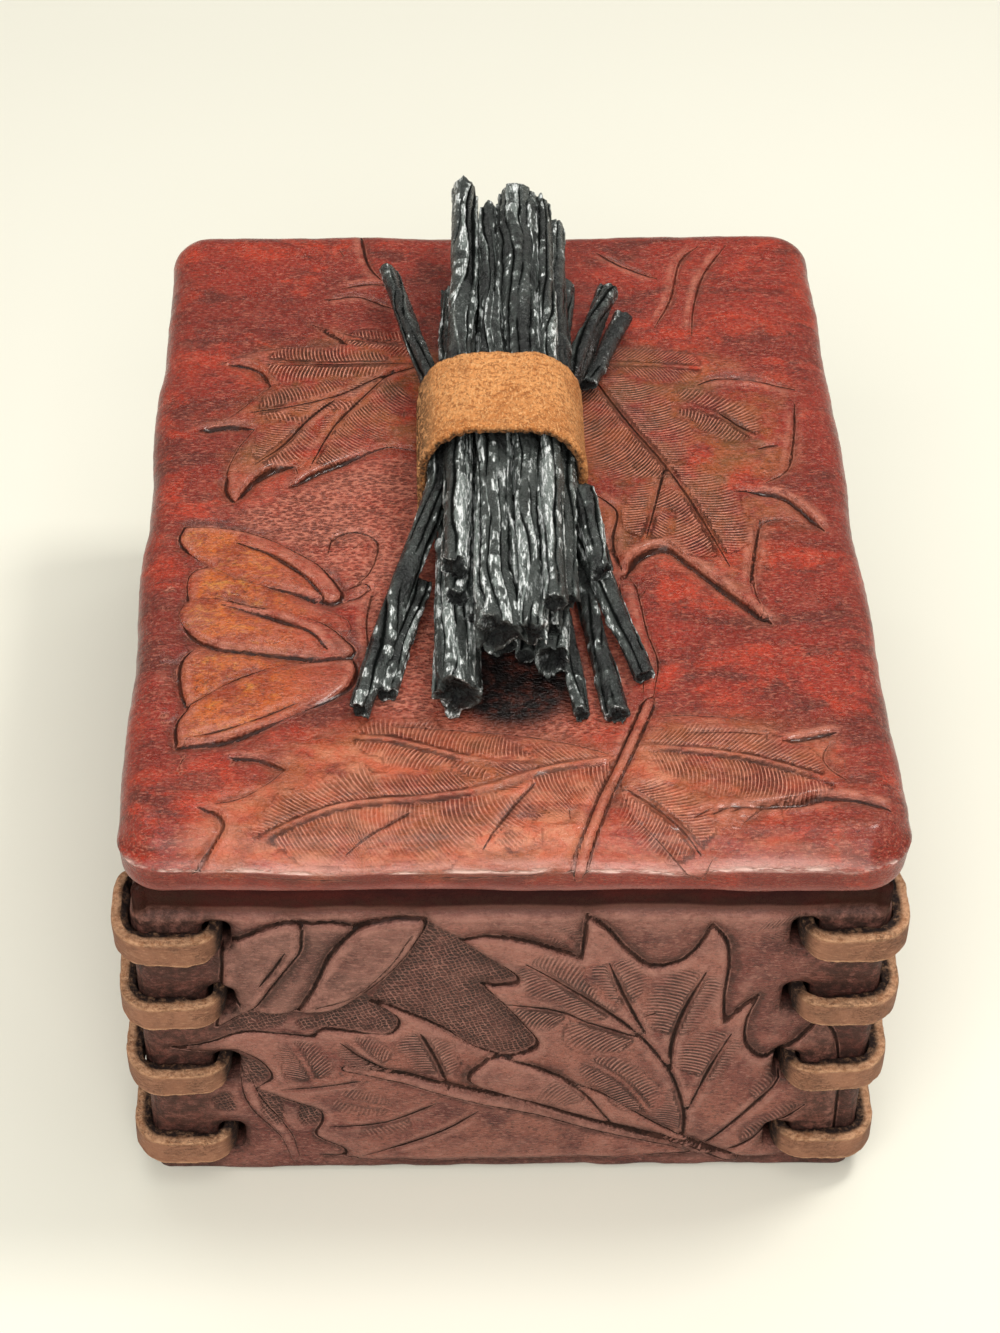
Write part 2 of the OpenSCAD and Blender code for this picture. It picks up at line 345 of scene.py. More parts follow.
    def at(s, name, x, y):
        F = getattr(s, name)
        gx = np.clip((x - s.xs[0]) / s.p, 0, len(s.xs) - 1.001)
        gy = np.clip((y - s.ys[0]) / s.p, 0, len(s.ys) - 1.001)
        i, j = gx.astype(int), gy.astype(int)
        fx, fy = gx - i, gy - j
        return (F[j, i] * (1 - fx) + F[j, i + 1] * fx) * (1 - fy) + (F[j + 1, i] * (1 - fx) + F[j + 1, i + 1] * fx) * fy


LOOK = tuple(f for f in Relief.FIELDS if f != "h")


def free_leaf(R, base, ang, size, seed, tint=0.0, wide=0.5, lobes=3, bend=0.12, hatch=1.0, rise=0.35, bevel=0.6):
    """A lobed leaf of general form: a stem end, a bent midrib, side lobes with a vein each, and stamped strokes."""
    rng = np.random.RandomState(seed)
    ca, sa = math.cos(ang), math.sin(ang)

    def put(t, v):
        t, v = t * size, (v + bend * math.sin(math.pi * t)) * size
        return (base[0] + ca * t - sa * v, base[1] + sa * t + ca * v)

    ts = np.linspace(0.22, 0.74, lobes)
    sides = {}
    for sgn in (1, -1):
        pts = []
        for k, t in enumerate(ts):
            lat = wide * (0.78, 1.0, 0.72, 0.5)[min(k, 3)] * (1 + 0.12 * rng.randn())
            tip = (t + 0.16 + 0.03 * rng.randn(), sgn * lat)
            notch = (t + 0.15 + 0.02 * rng.randn(), sgn * (0.17 - 0.02 * k))
            pts.append((tip, notch, (t - 0.05, 0.0)))
        sides[sgn] = pts
    segs = []
    last = (0.02, 0.03)
    for tip, notch, root in sides[1]:
        segs.append([put(*last), put((last[0] * 0.45 + tip[0] * 0.55) - 0.05, tip[1] * 0.68 + 0.05), put(*tip)])
        segs.append([put(*tip), put((tip[0] + notch[0]) / 2 + 0.035, (tip[1] + notch[1]) / 2 - 0.03), put(*notch)])
        last = notch
    segs.append([put(*last), put(0.9, 0.10), put(1.02, 0.0)])
    last = (1.02, 0.0)
    for tip, notch, root in reversed(sides[-1]):
        if last[0] > 1.0:
            segs.append([put(*last), put(0.9, -0.10), put(*notch)])
        segs.append([put(*notch), put((tip[0] + notch[0]) / 2 + 0.035, (tip[1] + notch[1]) / 2 + 0.03), put(*tip)])
        nxt = None
        for tip2, notch2, root2 in sides[-1]:
            if notch2[0] < notch[0] - 0.02 and (nxt is None or notch2[0] > nxt[0]):
                nxt = notch2
        end = nxt if nxt else (0.02, -0.03)
        segs.append([put(*tip), put((end[0] * 0.45 + tip[0] * 0.55) - 0.05, tip[1] * 0.68 - 0.05), put(*end)])
        last = end
    segs.append([put(*last), put(0.0, 0.0), put(0.02, 0.03)])
    R.shape(segs, rise=rise, bevel=bevel, tint=tint, seed=seed, w=0.4, wash_and_shade=0.8, halo=1.5)
    mid = [put(-0.02, 0), put(0.25, 0), put(0.55, 0), put(0.92, 0)]
    veins = []
    for sgn in (1, -1):
        for tip, notch, root in sides[sgn]:
            veins.append([put(*root), put(root[0] + 0.11, tip[1] * 0.42), put(tip[0] - 0.05, tip[1] * 0.8)])
    if hatch:
        for k, v in enumerate(veins):
            R.hatch(v, 0, d1=0.085 * size, t0=0.42, t1=1.0, lean=0.7, amp=hatch, seed=seed + 3 * k)
        R.hatch(mid, 0, d1=0.07 * size, t0=0.62, t1=0.99, lean=0.8, amp=0.9 * hatch, seed=seed + 61)
    for v in veins:
        R.cut(v, w=0.3, depth=0.28, lip=0.06, ends=(0.02, 0.5))
    R.cut(mid, w=0.42, depth=0.38, lip=0.1, ends=(0.02, 0.4))
    return put


# ------------------------------------------------------------------ meshes

def make_mesh(name, V, quads, ngons=(), attrs=None, quad_uv=None, ngon_uv=None):
    """V in mm. quad_uv is (n, 4, 2)."""
    me = bpy.data.meshes.new(name)
    quads = np.asarray(quads, np.int32)
    flat = [quads.ravel()] + [np.asarray(g, np.int32) for g in ngons]
    loops = np.concatenate(flat)
    starts = np.concatenate([np.arange(len(quads)) * 4, 4 * len(quads) + np.concatenate([[0], np.cumsum([len(g) for g in ngons])])[:-1] if ngons else []]).astype(np.int32)
    me.vertices.add(len(V))
    me.vertices.foreach_set("co", (np.asarray(V, np.float64) * MM).astype(np.float32).ravel())
    me.loops.add(len(loops))
    me.loops.foreach_set("vertex_index", loops)
    me.polygons.add(len(starts))
    me.polygons.foreach_set("loop_start", starts)
    me.polygons.foreach_set("use_smooth", np.ones(len(starts), bool))
    me.update(calc_edges=True)
    for k, v in (attrs or {}).items():
        me.attributes.new(k, "FLOAT", "POINT").data.foreach_set("value", np.asarray(v, np.float32).ravel())
    if quad_uv is not None:
        uv = me.uv_layers.new(name="OFBake")
        all_uv = [np.asarray(quad_uv, np.float32).reshape(-1, 2)] + [np.asarray(g, np.float32) for g in (ngon_uv or [])]
        uv.data.foreach_set("uv", np.concatenate(all_uv).ravel())
    me.validate()
    return me


def add(name, me, mat, body, nodes=()):
    ob = bpy.data.objects.new(name, me)
    bpy.context.scene.collection.objects.link(ob)
    me.materials.append(mat)
    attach(ob, body)
    if nodes:
        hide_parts(*nodes)
    return ob


def grid_quads(ny, nx, base=0, wrap=False):
    """Quads of a grid of ny rows and nx columns, row by row. wrap closes each row."""
    j, i = np.meshgrid(np.arange(ny - 1), np.arange(nx if wrap else nx - 1), indexing="ij")
    i1 = (i + 1) % nx
    return base + np.stack([j * nx + i, j * nx + i1, (j + 1) * nx + i1, (j + 1) * nx + i], -1).reshape(-1, 4)


# ------------------------------------------------------------------ node helpers

class Nodes:
    def __init__(s, name):
        s.mat = bpy.data.materials.new(name)
        s.mat.use_nodes = True
        s.t = s.mat.node_tree
        s.b = s.t.nodes["Principled BSDF"]
        s.co = s.t.nodes.new("ShaderNodeTexCoord").outputs["Object"]

    def link(s, a, b):
        s.t.links.new(a, b)

    def put(s, sock, v):
        if isinstance(v, bpy.types.NodeSocket):
            s.link(v, sock)
        else:
            if hasattr(sock.default_value, "__len__") and not hasattr(v, "__len__"):
                v = (v, v, v, 1.0)[:len(sock.default_value)]
            elif hasattr(v, "__len__") and len(v) == 3 and len(sock.default_value) == 4:
                v = (*v, 1.0)
            sock.default_value = v

    def attr(s, name):
        n = s.t.nodes.new("ShaderNodeAttribute")
        n.attribute_name = name
        return n.outputs["Fac"]

    def math(s, op, a, b=0.0, c=0.0, clamp=False):
        n = s.t.nodes.new("ShaderNodeMath")
        n.operation = op
        n.use_clamp = clamp
        for k, v in enumerate((a, b, c)):
            s.put(n.inputs[k], v)
        return n.outputs[0]

    def mapr(s, v, a, b, lo=0.0, hi=1.0, kind="SMOOTHSTEP"):
        n = s.t.nodes.new("ShaderNodeMapRange")
        n.interpolation_type = kind
        n.clamp = True
        for k, w in enumerate((v, a, b, lo, hi)):
            s.put(n.inputs[k], w)
        return n.outputs[0]

    def mix(s, f, a, b, mode="MIX"):
        n = s.t.nodes.new("ShaderNodeMix")
        n.data_type = "RGBA"
        n.blend_type = mode
        s.put(n.inputs["Factor"], f)
        s.put(n.inputs[6], a)
        s.put(n.inputs[7], b)
        return n.outputs[2]

    def place(s, scale=(1, 1, 1), rot=(0, 0, 0), co=None):
        """Coordinates in mm times scale."""
        n = s.t.nodes.new("ShaderNodeMapping")
        s.link(co or s.co, n.inputs["Vector"])
        n.inputs["Scale"].default_value = tuple(1000.0 * v for v in scale)
        n.inputs["Rotation"].default_value = rot
        return n.outputs[0]

    def noise(s, size, detail=3.0, rough=0.55, stretch=(1, 1, 1), distort=0.0, rot=(0, 0, 0)):
        """Noise whose lumps are about size mm across, from 0 to 1."""
        n = s.t.nodes.new("ShaderNodeTexNoise")
        s.link(s.place(tuple(1.0 / (size * k) for k in stretch), rot), n.inputs["Vector"])
        n.inputs["Scale"].default_value = 1.0
        n.inputs["Detail"].default_value = detail
        n.inputs["Roughness"].default_value = rough
        n.inputs["Distortion"].default_value = distort
        return n.outputs["Fac"]

    def cells(s, size, feature="F1", stretch=(1, 1, 1), rand=1.0, rot=(0, 0, 0)):
        n = s.t.nodes.new("ShaderNodeTexVoronoi")
        n.feature = feature
        s.link(s.place(tuple(1.0 / (size * k) for k in stretch), rot), n.inputs["Vector"])
        n.inputs["Scale"].default_value = 1.0
        n.inputs["Randomness"].default_value = rand
        return n.outputs["Distance"]

    def bump(s, height, mm, strength=1.0, normal=None):
        n = s.t.nodes.new("ShaderNodeBump")
        n.inputs["Strength"].default_value = strength
        n.inputs["Distance"].default_value = mm * MM
        s.link(height, n.inputs["Height"])
        if normal is not None:
            s.link(normal, n.inputs["Normal"])
        return n.outputs["Normal"]

    def done(s, color, rough, normal=None, **const):
        s.put(s.b.inputs["Base Color"], color)
        s.put(s.b.inputs["Roughness"], rough)
        if normal is not None:
            s.link(normal, s.b.inputs["Normal"])
        for k, v in const.items():
            s.put(s.b.inputs[k.replace("_", " ")], v)
        return s.mat


def carved_material(name, reds, dark, wash_and_shade, leafc, greenc, petalc, petald, petaly, rub, stip, gloss, spec, coat, ink, comb, hollow, streak=(3, 1, 1), lattice=False, red_edge=False):
    """Tooled hide look: blotched colour, dark wash in cuts, stamped strokes and stipple, lighter rubbed rims, painted
    shade and highlight from the hollows and the lean of the carving, and on the lid painted highlights, a painted
    shadow and a painted reflection.
    """
    n = Nodes(name)
    base = n.mix(n.mapr(n.noise(24, 3, 0.6), 0.38, 0.62), reds[0], reds[1])
    base = n.mix(n.mapr(n.noise(7, 5, 0.66, stretch=streak, distort=0.5), 0.49, 0.64, 0.0, 0.92), base, reds[2])
    base = n.mix(n.mapr(n.noise(10, 5, 0.64, stretch=(1.4, 1, 1), distort=0.6), 0.51, 0.64, 0.0, 0.95), base, reds[3])
    base = n.mix(n.mapr(n.noise(2.2, 5, 0.72, stretch=(2.4, 1, 1)), 0.51, 0.66, 0.0, 0.55), base, reds[2])
    leaf, grn, pet = n.attr("leaf"), n.attr("grn"), n.attr("pet")
    lcol = n.mix(n.mapr(n.noise(7, 4, 0.6), 0.40, 0.62), leafc, base)
    base = n.mix(n.math("MULTIPLY", leaf, 0.9), base, lcol)
    base = n.mix(n.math("MULTIPLY", grn, n.mapr(n.noise(9, 4, 0.6), 0.48, 0.66, 0.0, 0.85)), base, greenc)
    pcol = n.mix(n.mapr(n.noise(5.0, 5, 0.70), 0.42, 0.56), petald, petalc)
    pcol = n.mix(n.mapr(n.noise(3.4, 5, 0.7, distort=0.8), 0.53, 0.66, 0.0, 0.85), pcol, petaly)
    pcol = n.mix(n.mapr(n.noise(1.5, 5, 0.72), 0.54, 0.64, 0.0, 0.80), pcol, petald)
    pcol = n.mix(n.mapr(n.noise(0.8, 4, 0.70, stretch=(3.0, 1, 1)), 0.55, 0.64, 0.0, 0.55), pcol, petaly)
    if red_edge:
        spot = n.t.nodes.new("ShaderNodeSeparateXYZ")
        n.link(n.place((1, 1, 1)), spot.inputs[0])
        warm = n.math("ADD", spot.outputs[0], n.math("MULTIPLY", n.noise(4, 4, 0.65), 22.0))
        pcol = n.mix(n.mapr(warm, -36, -18, 0.0, 0.75), pcol, (0.43, 0.064, 0.017))
    base = n.mix(pet, base, pcol)
    base = n.mix(n.mapr(n.noise(0.8, 5, 0.72), 0.52, 0.68, 0.0, 0.42), base, wash_and_shade)
    base = n.mix(n.mapr(n.noise(0.34, 3, 0.65, stretch=(3.0, 1, 1)), 0.51, 0.64, 0.0, 0.50), base, rub)
    base = n.mix(n.mapr(n.noise(0.32, 3, 0.65, stretch=(2.2, 1, 1)), 0.52, 0.65, 0.0, 0.58), base, dark)
    if lattice:
        # the strip above the carved sheet, painted dark maroon as the shadow under the lid
        base = n.mix(n.attr("gap"), base, n.mix(n.mapr(n.noise(9, 4, 0.6, stretch=(2, 2, 1)), 0.40, 0.62), (0.030, 0.0075, 0.0075), (0.062, 0.012, 0.010)))
    if red_edge:
        edge = n.attr("edge")
        # the side of the lid: a darker red band below the shoulder, and a mauve band on the lower rounding that is a
        # painted reflection of the floor
        base = n.mix(n.math("MULTIPLY", n.mapr(edge, 0.47, 0.53), n.mapr(n.noise(7, 4, 0.65), 0.40, 0.62, 0.35, 0.85)), base, (0.150, 0.019, 0.0125))
        base = n.mix(n.math("MULTIPLY", n.mapr(edge, 0.70, 0.84), n.mapr(n.noise(9, 4, 0.65, stretch=(2, 1, 1)), 0.35, 0.62, 0.25, 0.70)), base, (0.34, 0.125, 0.108))
        base = n.mix(n.math("MULTIPLY", n.attr("brd"), n.mapr(n.noise(6, 5, 0.68, stretch=(1, 2.5, 1)), 0.38, 0.60, 0.0, 0.22)), base, reds[2])
        # painted sheen: the front leaf and the front of the lid lighter, with the strokes and cut lines there less dark
        base = n.mix(n.math("MULTIPLY", n.attr("pale"), n.mapr(n.noise(5, 4, 0.65, stretch=(2, 1, 1)), 0.42, 0.60, 0.12, 0.90)), base, n.mix(n.mapr(n.noise(2.6, 5, 0.7, stretch=(1.5, 1, 1)), 0.42, 0.60), (0.56, 0.120, 0.052), (0.62, 0.214, 0.112)))
    # dark wash in the hollows, partly antique stain and partly painted shade; wear and painted highlight on what stands
    # up
    occ, slope = n.attr("occ"), n.attr("slope")
    patchy = n.mapr(n.noise(2.4, 5, 0.68), 0.34, 0.60, 0.25, 1.0)
    base = n.mix(n.math("MULTIPLY", n.mapr(occ, 0.10, 0.95, 0.0, hollow[0]), patchy), base, wash_and_shade)
    base = n.mix(n.math("MULTIPLY", n.mapr(occ, -0.10, -0.9, 0.0, hollow[1]), patchy), base, rub)
    # painted shade on faces that lean away from the light (down on the walls, forward on the lid), painted highlight on
    # faces that lean towards it
    base = n.mix(n.mapr(slope, -0.05, -0.9, 0.0, hollow[2]), base, wash_and_shade)
    base = n.mix(n.mapr(slope, 0.08, 0.9, 0.0, hollow[3]), base, rub)
    # rubbed rims, and on the walls a painted highlight along the top edge of the carved sheet
    base = n.mix(n.math("MULTIPLY", n.attr("rub"), n.mapr(n.noise(2.4, 4, 0.65), 0.35, 0.62, 0.05, 0.6)), base, rub)
    # stamped strokes
    sine = n.math("SINE", n.math("MULTIPLY", n.attr("ph"), 2 * math.pi))
    am = n.attr("am")
    valley = n.math("MULTIPLY", n.mapr(sine, 0.25, 0.95), am, clamp=True)
    crest = n.math("MULTIPLY", n.mapr(sine, -0.1, -0.95), am, clamp=True)
    tip = (0.68, 0.275, 0.185) if red_edge else rub
    if red_edge:
        valley = n.math("MULTIPLY", valley, n.mapr(n.attr("pale"), 0.05, 0.8, 0.92, 0.42))
    base = n.mix(n.math("MULTIPLY", am, n.mapr(n.noise(4.5, 4, 0.65), 0.42, 0.62, 0.0, comb[2])), base, wash_and_shade)
    base = n.mix(n.math("MULTIPLY", valley, n.mapr(n.noise(2.6, 4, 0.65), 0.35, 0.65, comb[0], comb[1])), base, dark)
    base = n.mix(n.math("MULTIPLY", crest, n.mapr(n.noise(2.0, 4, 0.65), 0.38, 0.60, 0.35, 0.95)), base, tip)
    # stipple and lattice
    st, ms = n.attr("st"), n.attr("ms")
    pit = n.cells(0.50, stretch=(1.9, 1, 1), rot=(0, 0, 0.45))
    pits = n.mapr(pit, 0.18, 0.55)
    base = n.mix(n.math("MULTIPLY", st, n.mapr(n.noise(5, 4, 0.6), 0.35, 0.6, 0.25, 0.6)), base, stip)
    base = n.mix(n.math("MULTIPLY", n.math("MULTIPLY", st, n.math("SUBTRACT", 1.0, pits)), 0.50), base, wash_and_shade)
    base = n.mix(n.math("MULTIPLY", n.math("MULTIPLY", st, n.mapr(pit, 0.50, 0.80)), 0.8), base, rub)
    if lattice:
        xyz = n.t.nodes.new("ShaderNodeSeparateXYZ")
        n.link(n.place((1, 1, 1)), xyz.inputs[0])
        u = n.math("ADD", xyz.outputs[0], xyz.outputs[1])
        v = xyz.outputs[2]
        warp = n.math("MULTIPLY", n.math("SUBTRACT", n.noise(3.0, 4, 0.65), 0.5), 8.5)
        la = n.math("ADD", n.math("ADD", n.math("MULTIPLY", u, 3.9), n.math("MULTIPLY", v, 1.7)), warp)
        lb = n.math("ADD", n.math("SUBTRACT", n.math("MULTIPLY", u, 1.3), n.math("MULTIPLY", v, 4.3)), warp)
        net = n.math("MINIMUM", n.math("ABSOLUTE", n.math("SINE", la)), n.math("ABSOLUTE", n.math("SINE", lb)))
        web = n.mapr(net, 0.14, 0.58)
    else:
        web = n.mapr(n.cells(1.0, "DISTANCE_TO_EDGE", rand=0.8), 0.02, 0.20)
    hole = n.math("MULTIPLY", ms, web)
    base = n.mix(n.math("MULTIPLY", hole, n.mapr(n.noise(2.0, 4, 0.65), 0.35, 0.62, 0.45, 0.8)), base, dark)
    base = n.mix(n.math("MULTIPLY", n.math("MULTIPLY", ms, n.math("SUBTRACT", 1.0, web)), n.mapr(n.noise(3, 3, 0.6), 0.35, 0.65, 0.35, 0.85)), base, rub)
    # wash in cuts and pressed-down ground, and on the walls the painted shade along the laces, round the holes and at
    # the corners
    lx, ly = n.attr("lx"), n.attr("ly")
    dist = n.math("SQRT", n.math("ADD", n.math("MULTIPLY", lx, lx), n.math("MULTIPLY", ly, ly)))
    q = n.math("ADD", n.math("MULTIPLY", dist, n.attr("lw")), n.math("ADD", n.attr("lo"), n.attr("lf")))
    q = n.math("ADD", q, n.math("MULTIPLY", n.math("SUBTRACT", n.noise(0.7, 3, 0.65), 0.5), 0.65))
    line = n.mapr(q, 1.05, 0.55)
    if red_edge:
        line = n.math("MULTIPLY", line, n.mapr(n.attr("pale"), 0.1, 0.9, 1.0, 0.66))
    cav = n.attr("cav")
    wash = n.math("MULTIPLY", cav, n.mapr(n.noise(1.6, 5, 0.7), 0.32, 0.62, 0.35, 1.0), clamp=True)
    base = n.mix(wash, base, wash_and_shade)
    lips = n.math("MULTIPLY", n.mapr(q, 1.05, 1.45), n.mapr(q, 2.5, 1.6))
    base = n.mix(n.math("MULTIPLY", lips, n.mapr(n.noise(2.8, 4, 0.65), 0.38, 0.60, 0.08, 0.62)), base, rub)
    base = n.mix(n.math("MULTIPLY", line, n.mapr(n.noise(3.5, 4, 0.65), 0.35, 0.62, 0.75 * ink, ink)), base, dark)
    if red_edge:
        # painted shadow under the bundle
        bundle_shadow = n.math("MULTIPLY", n.attr("bundle_shadow"), n.mapr(n.noise(2.2, 4, 0.7), 0.25, 0.55, 0.75, 1.0), clamp=True)
        base = n.mix(bundle_shadow, base, (0.007, 0.0045, 0.004))
        # painted sheen on the front shoulder and a painted highlight along the arris
        shoulder_sheen = n.math("MULTIPLY", n.attr("shoulder_sheen"), n.mapr(n.noise(3.2, 5, 0.7, stretch=(3.5, 1, 1)), 0.36, 0.60, 0.12, 0.62))
        base = n.mix(shoulder_sheen, base, (0.70, 0.36, 0.30))
        arris = n.math("MULTIPLY", n.attr("arris"), n.mapr(n.noise(4.0, 5, 0.7, stretch=(3.0, 1, 1)), 0.44, 0.58, 0.05, 1.0), clamp=True)
        base = n.mix(n.math("MULTIPLY", arris, 0.75), base, (0.95, 0.66, 0.58))
    # bumps
    grain = n.math("ADD", n.math("MULTIPLY", n.noise(0.40, 3, 0.65), 1.25), n.math("MULTIPLY", n.noise(1.7, 4, 0.62, stretch=streak), 1.1))
    grain = n.math("ADD", grain, n.math("MULTIPLY", n.mapr(n.cells(1.1, "DISTANCE_TO_EDGE"), 0.0, 0.10), 0.25))
    if red_edge:
        grain = n.math("MULTIPLY", grain, n.mapr(arris, 0.0, 0.8, 1.0, 0.25))
    nrm = n.bump(grain, 0.30, 0.9)
    stamp = n.math("MULTIPLY", n.math("MULTIPLY", sine, am), -0.6)
    stamp = n.math("ADD", stamp, n.math("MULTIPLY", n.math("MULTIPLY", st, pits), 0.9))
    stamp = n.math("SUBTRACT", stamp, n.math("MULTIPLY", hole, 1.6))
    stamp = n.math("SUBTRACT", stamp, n.math("MULTIPLY", n.mapr(q, 1.9, 0.4), 2.2))
    nrm = n.bump(stamp, 0.20, 1.0, nrm)
    rough = n.mapr(n.noise(8, 4, 0.6), 0.3, 0.7, gloss[0], gloss[1], "LINEAR")
    rough = n.math("ADD", rough, n.math("MULTIPLY", n.math("MAXIMUM", wash, line), 0.22))
    if lattice:
        spec = n.math("MULTIPLY", n.math("SUBTRACT", 1.0, n.attr("gap")), spec)
    if red_edge:
        rough = n.math("SUBTRACT", rough, n.math("ADD", n.math("MULTIPLY", arris, 0.20), n.math("MULTIPLY", shoulder_sheen, 0.08)))
        spec = n.math("MAXIMUM", n.mapr(edge, 0.08, 0.45, spec, 0.16), n.mapr(arris, 0.0, 0.8, 0.0, 0.75))
    spec = n.math("MULTIPLY", n.mapr(line, 0.1, 0.8, 1.0, 0.2), spec)
    return n.done(base, rough, nrm, Specular_IOR_Level=spec, Coat_Weight=coat, Coat_Roughness=0.17)


MAT_LID = carved_material(
    "carved_red", reds=[(0.220, 0.0200, 0.0105), (0.310, 0.0245, 0.0115), (0.118, 0.0160, 0.0095), (0.450, 0.0375, 0.0125)],
    dark=(0.020, 0.0080, 0.0055), wash_and_shade=(0.085, 0.0240, 0.0125), leafc=(0.320, 0.088, 0.0220), greenc=(0.135, 0.064, 0.0180),
    petalc=(0.560, 0.122, 0.0180), petald=(0.300, 0.048, 0.0130), petaly=(0.62, 0.240, 0.043), rub=(0.58, 0.200, 0.128), stip=(0.46, 0.138, 0.088),
    gloss=(0.24, 0.38), spec=0.36, coat=0.25, ink=0.96, comb=(0.45, 0.85, 0.4), hollow=(0.45, 0.24, 0.26, 0.18), red_edge=True)
MAT_WALL = carved_material(
    "carved_mauve", reds=[(0.170, 0.044, 0.0330), (0.192, 0.064, 0.0465), (0.088, 0.021, 0.0180), (0.262, 0.089, 0.0650)],
    dark=(0.012, 0.0060, 0.0045), wash_and_shade=(0.040, 0.0170, 0.0120), leafc=(0.322, 0.114, 0.0780), greenc=(0.10, 0.05, 0.025),
    petalc=(0.118, 0.054, 0.0400), petald=(0.098, 0.039, 0.0300), petaly=(0.16, 0.073, 0.0510), rub=(0.42, 0.195, 0.148), stip=(0.20, 0.08, 0.06),
    gloss=(0.40, 0.54), spec=0.24, coat=0.06, ink=0.95, comb=(0.55, 0.95, 0.4), hollow=(0.62, 0.36, 0.40, 0.26), lattice=True)


# ------------------------------------------------------------------ lid

def carve_lid():
    R = Relief(-76, 76, -96, 96, 0.36)
    # stippled ground round the blossom and the front of the bundle
    R.ground([(-46, -3), (-36, 4), (-20, 13), (-13, 8), (-10, -20), (-10, -50), (-22, -50), (-23, -36), (-25, -22), (-34, -14), (-44, -6)], "st", 0.9, 0.25, 3)
    R.ground([(-12, -18), (14, -14), (19, -22), (20, -45), (15, -56), (0, -57), (-12, -54)], "st", 0.75, 0.2, 3)
    # left leaf
    soft = dict(dark=0.25, wash_and_shade=0.22, depth=0.10, lip=0.03)
    R.shape([
        [(-6, 42), (-15, 43.5), (-22, 45.5), (-27, 47.2), (-33, 50)], [(-33, 50), (-30, 46.8), (-27.5, 44.2)],
        [(-27.5, 44.2), (-34, 43.2), (-42, 42), (-49, 38.4)], [(-49, 38.4), (-45, 37.6), (-41.8, 35.6), (-40, 31.6)],
        [(-40, 31.6), (-43, 27.5), (-47, 22.8), (-52, 19.4)], [(-52, 19.4), (-47, 20.6), (-42.4, 19.6)],
        [(-42.4, 19.6), (-45, 14), (-46.6, 8), (-46.6, 3), (-45, 0)], [(-45, 0), (-42, 5.6), (-38.6, 9), (-35, 9.4)],
        [(-35, 9.4), (-34.6, 7), (-36, 3.8)], [(-36, 3.8), (-30.5, 8.4), (-24.5, 12), (-19.5, 14.4), (-12, 13), (-4, 12)],
        [(-4, 12), (-3, 26), (-6, 42)]], rise=0.35, bevel=0.22, bw=1.8, tint=0.95, green=0.75, seed=11, **soft)
    v1 = [(-12, 38), (-27, 37.6), (-36.5, 38), (-42.5, 38.6)]
    v2 = [(-13, 37.4), (-21, 33.5), (-28, 28.6), (-35.5, 25.6), (-43.5, 23.8)]
    v3 = [(-18, 36), (-23.5, 28), (-27.5, 21.6), (-29.6, 17), (-32.6, 8.5)]
    v4 = [(-28.5, 27.4), (-32.5, 22.5), (-37.5, 14.5), (-42, 9.5)]
    v0 = [(-12, 43), (-20, 44.4), (-27.5, 46)]
    R.hatch(v1, 0, d1=5.2, t0=0.22, t1=0.95, lean=0.45, amp=1.2, seed=21)
    R.hatch(v0, 0, d1=3.4, t0=0.0, t1=0.95, lean=0.6, amp=1.2, seed=22)
    R.hatch(v2, 0, d1=5.0, t0=0.32, t1=0.95, lean=-0.35, amp=1.2, seed=23)
    R.hatch(v3, 1, d1=8.0, t0=0.08, t1=0.95, lean=0.8, seed=24)
    R.hatch(v3, -1, d1=4.6, t0=0.02, t1=0.75, lean=0.8, seed=25)
    R.hatch(v4, 0, d1=5.0, t0=0.06, t1=0.95, lean=0.6, seed=26)
    for v in (v1, v0):
        R.cut(v, w=0.26, depth=0.25, lip=0.1, ends=(0.02, 0.5), dark=0.7)
    for v in (v2, v3, v4):
        R.cut(v, w=0.34, depth=0.34, lip=0.12, ends=(0.02, 0.35))
    R.cut([(-49, 38.4), (-45, 37.6), (-41.8, 35.6), (-40, 31.6)], w=0.55, depth=0.6, bevel=0.5, side=-1, bw=2.2)
    R.cut([(-52, 19.4), (-47, 20.6), (-42.4, 19.6)], w=0.55, depth=0.6, bevel=0.55, side=-1, bw=2.2)
    R.cut([(-46.6, 7), (-46.6, 3), (-45, 0)], w=0.5, depth=0.55, bevel=0.5, side=-1, bw=1.8)
    R.cut([(-45, 0), (-42, 5.6), (-38.6, 9), (-35, 9.4)], w=0.6, depth=0.6, bevel=0.6, side=-1, bw=2.0)
    R.cut([(-36, 3.8), (-30.5, 8.4), (-24.5, 12), (-19.5, 14.4)], w=0.5, depth=0.55, bevel=0.5, side=-1, bw=2.0, ends=(0.05, 0.5))
    R.cut([(-31, 48.4), (-28.4, 46), (-26.6, 43.6)], w=0.42, depth=0.45)
    # strokes at the back
    R.cut([(-24.5, 79), (-23, 69), (-20.4, 63.4)], w=0.45, depth=0.4, bevel=0.35, side=1, bw=3)
    R.cut([(-31, 57.5), (-24.5, 58.6), (-18, 54.6)], w=0.5, depth=0.5, bevel=0.35, side=1, bw=2.4)
    R.cut([(-28, 61), (-23, 62.4), (-18, 62)], w=0.3, depth=0.2, dark=0.6)
    R.cut([(20, 72), (25, 67.6), (31, 63.4)], w=0.42, depth=0.42, bevel=0.3, side=1, bw=2.4)
    R.cut([(44.6, 74), (39.6, 64.6), (37, 54.5), (36, 46)], w=0.45, depth=0.2, lip=0.12, bevel=0.3, side=1, bw=3.0, dark=0.45, wash_and_shade=0.4)
    R.cut([(39.6, 74), (35.6, 69), (33, 57.5), (29.4, 48.4)], w=0.5, depth=0.2, lip=0.1, bevel=0.25, side=1, bw=3.0, dark=0.35, wash_and_shade=0.4)
